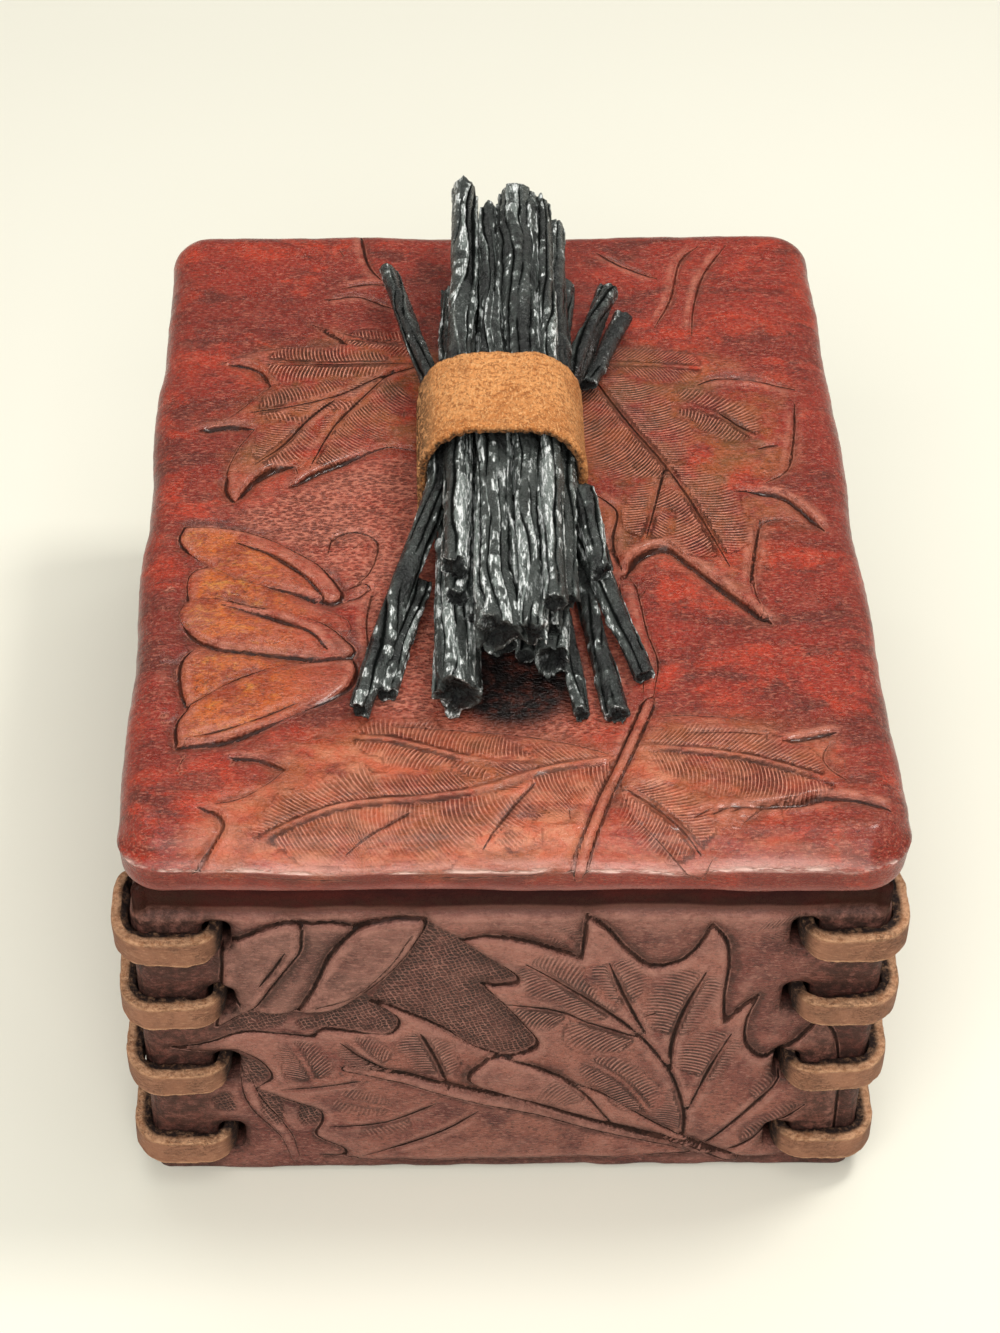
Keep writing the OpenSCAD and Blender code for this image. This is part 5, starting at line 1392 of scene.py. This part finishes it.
def suede_material():
    n = Nodes("napped_suede")
    dark = n.attr("pits_and_lit_side")
    big = n.noise(9, 3, 0.6)
    nap = n.noise(0.75, 4, 0.7, distort=0.6)
    fib = n.noise(0.35, 3, 0.7, stretch=(1, 2.2, 1), rot=(0, 0, 0.5))
    col = n.mix(n.mapr(big, 0.35, 0.65), (0.57, 0.204, 0.056), (0.78, 0.338, 0.115))
    col = n.mix(n.mapr(nap, 0.40, 0.54, 0.85, 0.0), col, (0.33, 0.104, 0.026))
    col = n.mix(n.mapr(fib, 0.50, 0.64, 0.0, 0.75), col, (0.90, 0.48, 0.20))
    col = n.mix(n.mapr(n.noise(0.28, 2, 0.7), 0.57, 0.70, 0.0, 0.6), col, (0.18, 0.056, 0.015))
    grit = n.mapr(n.noise(0.9, 4, 0.75), 0.45, 0.52)
    # painted light: the left side of the band is lighter, with dark pits in it
    col = n.mix(n.math("MULTIPLY", dark, 0.7), col, (0.95, 0.49, 0.21))
    col = n.mix(n.math("MULTIPLY", dark, n.math("SUBTRACT", 1.0, grit)), col, (0.085, 0.032, 0.012))
    col = n.mix(n.attr("back"), col, (0.012, 0.010, 0.009))
    col = n.mix(n.math("MULTIPLY", n.attr("rim"), n.mapr(n.noise(0.8, 3, 0.7), 0.42, 0.62, 0.35, 1.0)), col, (0.035, 0.018, 0.010))
    h = n.math("ADD", n.math("MULTIPLY", nap, 1.0), n.math("MULTIPLY", fib, 0.6))
    h = n.math("ADD", h, n.math("MULTIPLY", n.math("MULTIPLY", dark, grit), 1.4))
    nrm = n.bump(h, 0.60, 1.0)
    return n.done(col, 0.92, nrm, Specular_IOR_Level=0.15, Sheen_Weight=0.12, Sheen_Roughness=0.5, Sheen_Tint=(1.0, 0.72, 0.42, 1.0))


MAT_SUEDE = suede_material()


def arch_path(w, h, r0, r1, z0, n):
    """Points round an arch outline that stands on z0, evenly spaced, and their outward directions."""
    k = 14
    c = []
    for cx, cz, r, a0 in ((w / 2 - r0, r0, r0, -90), (w / 2 - r1, h - r1, r1, 0), (-w / 2 + r1, h - r1, r1, 90), (-w / 2 + r0, r0, r0, 180)):
        for a in np.radians(np.linspace(a0, a0 + 90, k)):
            c.append((cx + r * math.cos(a), z0 + cz + r * math.sin(a)))
    c = np.array(c + [c[0]])
    L = np.concatenate([[0], np.cumsum(np.linalg.norm(np.diff(c, axis=0), axis=1))])
    s = np.linspace(0, L[-1], n, endpoint=False)
    p = np.stack([np.interp(s, L, c[:, 0]), np.interp(s, L, c[:, 1])], 1)
    t = np.roll(p, -1, 0) - np.roll(p, 1, 0)
    t /= np.linalg.norm(t, axis=1)[:, None]
    return p, np.stack([t[:, 1], -t[:, 0]], 1), s, L[-1]


def build_band():
    n, y0, y1, T = 190, -5.5, 14.5, 2.0
    p, nv, s, L = arch_path(28.4, 20.7, 2.5, 10.2, 82.0, n)
    ys = np.linspace(y0, y1, 44)
    # section: outer face front to back, rounded edge, inner face back to front
    sec = [(y, 0.0) for y in ys] + [(y1 + 0.25, -0.5), (y1 + 0.3, -T / 2), (y1 + 0.2, -T + 0.4)] + [(y, -T) for y in ys[::-1][::2]] + [(y0 - 0.2, -T + 0.4), (y0 - 0.3, -T / 2), (y0 - 0.25, -0.5)]
    sec = np.array(sec)
    m = len(sec)
    cell = 34
    la = s / L * cell
    rag0 = 0.55 * fbm(la * 3, la * 0, 701, 3, cell * 3)
    rag1 = 0.38 * fbm(la * 2, la * 0 + 5, 702, 3, cell * 2)
    Y = np.broadcast_to(sec[:, 0], (n, m)).copy()
    O = np.broadcast_to(sec[:, 1], (n, m)).copy()
    f0, f1 = smooth(y0 + 3, y0, Y), smooth(y1 - 3, y1, Y)
    Y += f0 * rag0[:, None] + f1 * rag1[:, None]
    A = np.broadcast_to(la[:, None], (n, m))
    outer = (O > -0.6)
    left = smooth(-11.0, -14.0, p[:, 0])[:, None]
    lump = 0.14 * fbm(A * 0.7, Y / 5.0, 703, 3) + 0.13 * fbm(A * 2.5, Y / 1.1, 704, 3, int(cell * 2.5)) * (1 + 1.3 * left) - 0.20
    lump = np.where(outer, lump, 0.05 * fbm(A * 2, Y / 1.5, 705, 2))
    base = (p[:, 1] < 83.2)[:, None]
    lump = np.where(base & outer, np.minimum(lump, 0) * 0 , lump)
    flare = 0.25 * f0 * (p[:, 1] > 90)[:, None]
    O = np.minimum(O + lump + flare, -0.04)
    V = np.stack([p[:, 0][:, None] + nv[:, 0][:, None] * O, Y, np.maximum(p[:, 1][:, None] + nv[:, 1][:, None] * O, 82.0)], -1)
    # the left side of the band: coarse pits, and painted lighter
    pits_and_lit_side = np.clip(left + 0.12 * smooth(0.15, 0.6, fbm(A * 0.8, Y / 7.0, 706, 3)), 0, 1) * 0.9
    attrs = {"pits_and_lit_side": pits_and_lit_side * outer, "back": np.broadcast_to((sec[:, 1] < -1.7).astype(float), (n, m)), "rim": np.broadcast_to(smooth(-0.35, -1.0, sec[:, 1]), (n, m))}
    me = sweep("suede_loop", V[:, ::-1], MAT_SUEDE, {k: np.ascontiguousarray(v[:, ::-1]) for k, v in attrs.items()}, close_path=True)
    return add("suede_loop", me, MAT_SUEDE, "lid", ["suede_band"])


# ------------------------------------------------------------------ laces

def lace_material():
    n = Nodes("rough_lace")
    cutface, hole = n.attr("cutface"), n.attr("hole")
    col = n.mix(n.mapr(n.noise(6, 3, 0.6), 0.35, 0.65), (0.240, 0.102, 0.054), (0.312, 0.141, 0.079))
    col = n.mix(n.mapr(n.noise(1.6, 4, 0.7), 0.5, 0.72, 0.0, 0.5), col, (0.25, 0.105, 0.055))
    col = n.mix(n.mapr(n.noise(0.6, 3, 0.7), 0.52, 0.72, 0.0, 0.35), col, (0.36, 0.180, 0.105))
    cutc = n.mix(n.mapr(n.noise(0.55, 5, 0.75, stretch=(1.6, 1.6, 1)), 0.36, 0.60), (0.40, 0.185, 0.088), (0.66, 0.37, 0.21))
    col = n.mix(cutface, col, cutc)
    crack = n.mapr(n.noise(2.4, 5, 0.75, stretch=(1, 1, 0.35), distort=1.2), 0.485, 0.515)
    crack = n.math("MULTIPLY", n.math("SUBTRACT", 1.0, n.math("ABSOLUTE", n.math("SUBTRACT", n.math("MULTIPLY", crack, 2.0), 1.0))), n.mapr(n.noise(5, 2), 0.45, 0.6))
    fibre = n.noise(0.5, 4, 0.75, stretch=(3, 3, 0.8))
    col = n.mix(n.mapr(fibre, 0.54, 0.66, 0.0, 0.5), col, (0.15, 0.058, 0.030))
    col = n.mix(n.mapr(fibre, 0.46, 0.34, 0.0, 0.45), col, (0.50, 0.27, 0.155))
    col = n.mix(n.math("MULTIPLY", crack, 0.6), col, (0.09, 0.034, 0.017))
    # painted shade where the lace goes into its hole and on the top face against the wall
    hole_shade = n.math("MULTIPLY", hole, n.mapr(n.noise(1.0, 4, 0.7), 0.28, 0.55, 0.55, 1.0))
    col = n.mix(hole_shade, col, (0.016, 0.007, 0.005))
    h = n.math("ADD", n.math("MULTIPLY", n.noise(0.45, 4, 0.7), n.mapr(cutface, 0, 1, 0.6, 1.8)), n.math("MULTIPLY", n.noise(1.4, 3, 0.6), 0.7))
    h = n.math("SUBTRACT", h, n.math("MULTIPLY", fibre, 0.9))
    h = n.math("SUBTRACT", h, n.math("MULTIPLY", crack, 0.8))
    nrm = n.bump(h, 0.30, 0.9)
    rough = n.mapr(n.noise(3, 3), 0.3, 0.7, 0.58, 0.80, "LINEAR")
    return n.done(col, rough, nrm, Specular_IOR_Level=0.3)


MAT_LACE = lace_material()


def lace_path():
    """Plan of a lace round the front left corner: from the hole in the front wall to the hole in the left wall. mm, with the outer face on the outside of the bend.
    Each end dives into its hole in an easy curve."""
    xw, yw = 58.7, 78.0
    dive = cr([(-45.95, -72.0), (-46.0, -74.4), (-46.1, -76.4), (-46.6, -78.0), (-47.8, -79.3), (-49.6, -79.8), (-51.6, -79.8)], 0.35)
    pts = [tuple(q) for q in dive] + [(-(xw - 3.0), -(yw + 1.8))]
    half = list(pts)
    for a in np.radians(np.linspace(0, 90, 10)[1:-1]):
        pts.append((-(xw - 3.0 + 4.8 * math.sin(a)), -(yw - 3.0 + 4.8 * math.cos(a))))
    mirror = [(-(xw + (-y - yw)), -(yw + (-x - xw))) for x, y in half]
    return np.array(pts + mirror[::-1])


def build_laces():
    P0 = lace_path()
    L0 = np.concatenate([[0], np.cumsum(np.linalg.norm(np.diff(P0, axis=0), axis=1))])
    L = L0[-1]
    n, m = 120, 40
    s = np.linspace(0, L, n)
    P = np.stack([np.interp(s, L0, P0[:, 0]), np.interp(s, L0, P0[:, 1])], 1)
    for _ in range(3):
        P[1:-1] = 0.25 * P[:-2] + 0.5 * P[1:-1] + 0.25 * P[2:]
    T = np.gradient(P, axis=0)
    T /= np.linalg.norm(T, axis=1)[:, None]
    N = np.stack([T[:, 1], -T[:, 0]], 1)
    if (N[n // 2] * np.array([-1, -1])).sum() < 0:
        N = -N
    th = np.linspace(0, 2 * math.pi, m, endpoint=False)
    ex = 0.30
    cs, sn = np.sign(np.cos(th)) * np.abs(np.cos(th)) ** ex, np.sign(np.sin(th)) * np.abs(np.sin(th)) ** ex
    for c, (cn, sx, sy) in enumerate((("front_left", 1, 1), ("front_right", -1, 1), ("back_left", 1, -1), ("back_right", -1, -1))):
        for i, z in enumerate(HOLE_Z):
            sd = 800 + 10 * (4 * c + i)
            rng = np.random.RandomState(sd)
            ss = np.broadcast_to(s[:, None], (n, m))
            la = np.broadcast_to(th / (2 * math.pi) * 8, (n, m))
            thick = 0.98 + 0.07 * vnoise(s / 7, s * 0, sd)
            tall = 2.68 + 0.14 * vnoise(s / 9, s * 0 + 3, sd + 1)
            tall = tall * (1 - 0.16 * (smooth(9.0, 5.0, s) + smooth(9.0, 5.0, L - s)))
            mid = s / L - 0.5
            droop = 0.25 * rng.uniform(-1, 1) * np.cos(2 * math.pi * mid) + 0.22 * vnoise(s / 8, s * 0 + 5, sd + 2) * smooth(0, 8, s) * smooth(0, 8, L - s)
            tilt = rng.uniform(-0.12, 0.12) + 0.10 * vnoise(s / 10, s * 0 + 9, sd + 3)
            o = 0.30 + thick[:, None] * cs[None]
            v = tall[:, None] * sn[None]
            cutf = smooth(0.72, 0.95, np.abs(sn))[None] * np.ones((n, m))
            rough = 0.10 * fbm(la, ss / 1.3, sd + 4, 3, 8) * (0.6 + 1.2 * cutf) + 0.10 * vnoise(la, ss / 4.0, sd + 5, 8)
            o, v = o + rough * cs[None] + tilt[:, None] * v * 0.35, v + rough * sn[None] + droop[:, None]
            o = np.clip(o, -1.55, 1.36)
            # the back lies against the wall
            run = (smooth(8.0, 12.0, s) * smooth(8.0, 12.0, L - s))[:, None]
            o = np.where(o < -0.35, o - 0.80 * run * smooth(-0.35, -0.6, o), o)
            X = P[:, 0][:, None] + N[:, 0][:, None] * o
            Y = P[:, 1][:, None] + N[:, 1][:, None] * o
            Z = np.clip(z + v, z - 2.9, z + 2.9)
            V = np.stack([X * sx, Y * sy, Z], -1)
            # painted shade at the ends in the holes and on the side against the wall
            hole = np.clip(smooth(7.4, 5.6, s) + smooth(7.4, 5.6, L - s), 0, 1)[:, None] * np.ones((n, m))
            hole = np.maximum(hole, smooth(0.0, -0.35, o + 0.15 * vnoise(la * 2, ss / 1.5, sd + 6, 16)))
            attrs = {"cutface": cutf, "hole": hole}
            flip = sx * sy < 0
            if flip:
                V = V[:, ::-1]
                attrs = {k: np.ascontiguousarray(a[:, ::-1]) for k, a in attrs.items()}
            name = f"lace_{cn}_{i + 1}"
            me = sweep("strip_" + name, V, MAT_LACE, attrs)
            add("strip_" + name, me, MAT_LACE, "box", [name])


# ------------------------------------------------------------------ plain inside pieces

def inside_material(name, c0, c1, c2, size):
    n = Nodes(name)
    col = n.mix(n.mapr(n.noise(14 * size, 3, 0.6), 0.35, 0.65), c0, c1)
    col = n.mix(n.mapr(n.noise(0.8 * size, 4, 0.7), 0.45, 0.7, 0.0, 0.7), col, c2)
    h = n.math("ADD", n.noise(0.5 * size, 4, 0.7), n.math("MULTIPLY", n.noise(2.5 * size, 3, 0.6), 0.6))
    return n.done(col, n.mapr(n.noise(4, 3), 0.3, 0.7, 0.72, 0.92, "LINEAR"), n.bump(h, 0.22, 0.8), Specular_IOR_Level=0.25)


MAT_INSIDE = inside_material("inside_brown", (0.085, 0.030, 0.022), (0.12, 0.045, 0.032), (0.05, 0.018, 0.014), 1.0)
MAT_FLOOR = inside_material("floor_lining", (0.10, 0.036, 0.026), (0.14, 0.055, 0.040), (0.06, 0.022, 0.016), 0.8)


def soft_box(name, node, mat, body, lo, hi, r, step, seed, sink=0.0):
    """A box with rounded edges and a slightly uneven skin, built face by face from grids."""
    lo, hi = np.array(lo, float), np.array(hi, float)
    c, hsz = (lo + hi) / 2, (hi - lo) / 2
    n = np.maximum(((hi - lo) / step).astype(int), 4)
    ax = [np.linspace(-1, 1, k + 1) for k in n]
    ids, V, Q = {}, [], []

    def vid(i, j, k):
        key = (i, j, k)
        if key not in ids:
            ids[key] = len(V)
            V.append((ax[0][i] * hsz[0], ax[1][j] * hsz[1], ax[2][k] * hsz[2]))
        return ids[key]

    for a in range(3):
        b, d = (a + 1) % 3, (a + 2) % 3
        for end in (0, n[a]):
            for i in range(n[b]):
                for j in range(n[d]):
                    q = []
                    for di, dj in ((0, 0), (1, 0), (1, 1), (0, 1)):
                        t = [0, 0, 0]
                        t[a], t[b], t[d] = end, i + di, j + dj
                        q.append(vid(*t))
                    Q.append(q if end else q[::-1])
    V = np.array(V)
    core = np.clip(V, -(hsz - r), hsz - r)
    d = V - core
    l = np.linalg.norm(d, axis=1)
    V = np.where((l > 1e-9)[:, None], core + d / np.maximum(l, 1e-9)[:, None] * np.minimum(l, r)[:, None], V)
    dim = 0.12 * fbm(V[:, 0] / 9 + V[:, 2] / 5, V[:, 1] / 9, seed, 3)
    V = V - np.sign(V) * np.clip(dim + 0.04, 0, None)[:, None] * (np.abs(V) > hsz - r - 1e-6)
    me = make_mesh(name, V + c, Q)
    return add(name, me, mat, body, [node])


def build_inside():
    soft_box("floor_board", "base_panel", MAT_FLOOR, "box", (-52.65, -71.95, 0), (52.65, 71.95, 6), 0.8, 2.4, 901)
    x, y = 51.9, 71.2
    soft_box("rim_front", "lid_rim_front", MAT_INSIDE, "lid", (-x, -y, 65.5), (x, -y + 5, 71.5), 0.9, 1.6, 902)
    soft_box("rim_back", "lid_rim_back", MAT_INSIDE, "lid", (-x, y - 5, 65.5), (x, y, 71.5), 0.9, 1.6, 903)
    soft_box("rim_left", "lid_rim_left", MAT_INSIDE, "lid", (-x, -y + 5, 65.5), (-x + 5, y - 5, 71.5), 0.9, 1.6, 904)
    soft_box("rim_right", "lid_rim_right", MAT_INSIDE, "lid", (x - 5, -y + 5, 65.5), (x, y - 5, 71.5), 0.9, 1.6, 905)
    n = Nodes("pin_steel")
    col = n.mix(n.noise(2, 3), (0.42, 0.42, 0.43), (0.55, 0.55, 0.56))
    steel = n.done(col, n.mapr(n.noise(1.2, 3, 0.6, stretch=(1, 1, 6)), 0.3, 0.7, 0.28, 0.45, "LINEAR"), n.bump(n.noise(0.4, 3), 0.05, 0.5), Metallic=1.0)
    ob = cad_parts["handle_pins"]
    ob.data.materials.clear()
    ob.data.materials.append(steel)


build_lid()
build_wall("panel_front", "front_wall", "front", 58.7, 78.0, 0.0, 0.45)
build_wall("panel_right", "right_wall", "right", 78.0, 58.7, math.pi / 2, 0.52)
build_wall("panel_back", "back_wall", "back", 58.7, 78.0, math.pi, 0.5)
build_wall("panel_left", "left_wall", "left", 78.0, 58.7, -math.pi / 2, 0.52)
build_laces()
build_band()
build_sticks()
build_inside()


# ------------------------------------------------------------------ floor, light, camera

def stage():
    n = Nodes("paper_floor")
    col = n.mix(n.noise(60, 2), (0.832, 0.816, 0.705), (0.841, 0.827, 0.718))
    mat = n.done(col, 0.9, None, Specular_IOR_Level=0.1)
    me = bpy.data.meshes.new("floor")
    k = 3.0
    me.from_pydata([(-k, -k, 0), (k, -k, 0), (k, k, 0), (-k, k, 0)], [], [(0, 1, 2, 3)])
    me.materials.append(mat)
    ob = bpy.data.objects.new("floor", me)
    bpy.context.scene.collection.objects.link(ob)
    ob.location.z = -0.0004


stage()


def area(name, loc, target, size, power, color=(1, 1, 1)):
    d = bpy.data.lights.new(name, "AREA")
    d.shape = "RECTANGLE"
    d.size, d.size_y = size
    d.energy = power
    d.color = color
    ob = bpy.data.objects.new(name, d)
    bpy.context.scene.collection.objects.link(ob)
    ob.location = loc
    from mathutils import Vector
    ob.rotation_euler = (Vector(target) - Vector(loc)).to_track_quat("-Z", "Y").to_euler()
    return ob


area("overhead", (0.05, -0.08, 1.25), (0.05, -0.05, 0), (1.0, 1.0), 5.0, (1.0, 0.985, 0.96))
area("front_top", (-0.20, -1.0, 1.05), (0, -0.2, 0), (1.3, 0.7), 14.2, (1.0, 0.985, 0.96))
area("strip", (0.02, 0.42, 0.78), (0, 0, 0.08), (1.0, 0.05), 1.4, (1.0, 0.985, 0.96))
area("arris_line", (0.05, -1.10, 0.50), (0, -0.08, 0.08), (1.2, 0.04), 2.2, (1.0, 0.985, 0.96))
area("key", (0.28, 0.06, 0.72), (0, 0, 0.08), (0.14, 0.14), 2.0, (1.0, 0.98, 0.94))

world = bpy.data.worlds.new("room")
bpy.context.scene.world = world
world.use_nodes = True
world.node_tree.nodes["Background"].inputs["Color"].default_value = (1.0, 0.975, 0.92, 1.0)
world.node_tree.nodes["Background"].inputs["Strength"].default_value = 0.17

cam_d = bpy.data.cameras.new("camera")
cam_d.sensor_width = 36.0
cam_d.lens = 73.16
cam_d.shift_x = 0.0563
cam_d.clip_start, cam_d.clip_end = 0.05, 20.0
cam = bpy.data.objects.new("camera", cam_d)
bpy.context.scene.collection.objects.link(cam)
cam.location = (-0.015208, -0.34965, 0.38017)
cam.rotation_euler = (math.pi / 2 - 0.767, 0.0, -0.007)
bpy.context.scene.camera = cam
bpy.context.scene.view_settings.view_transform = "Standard"
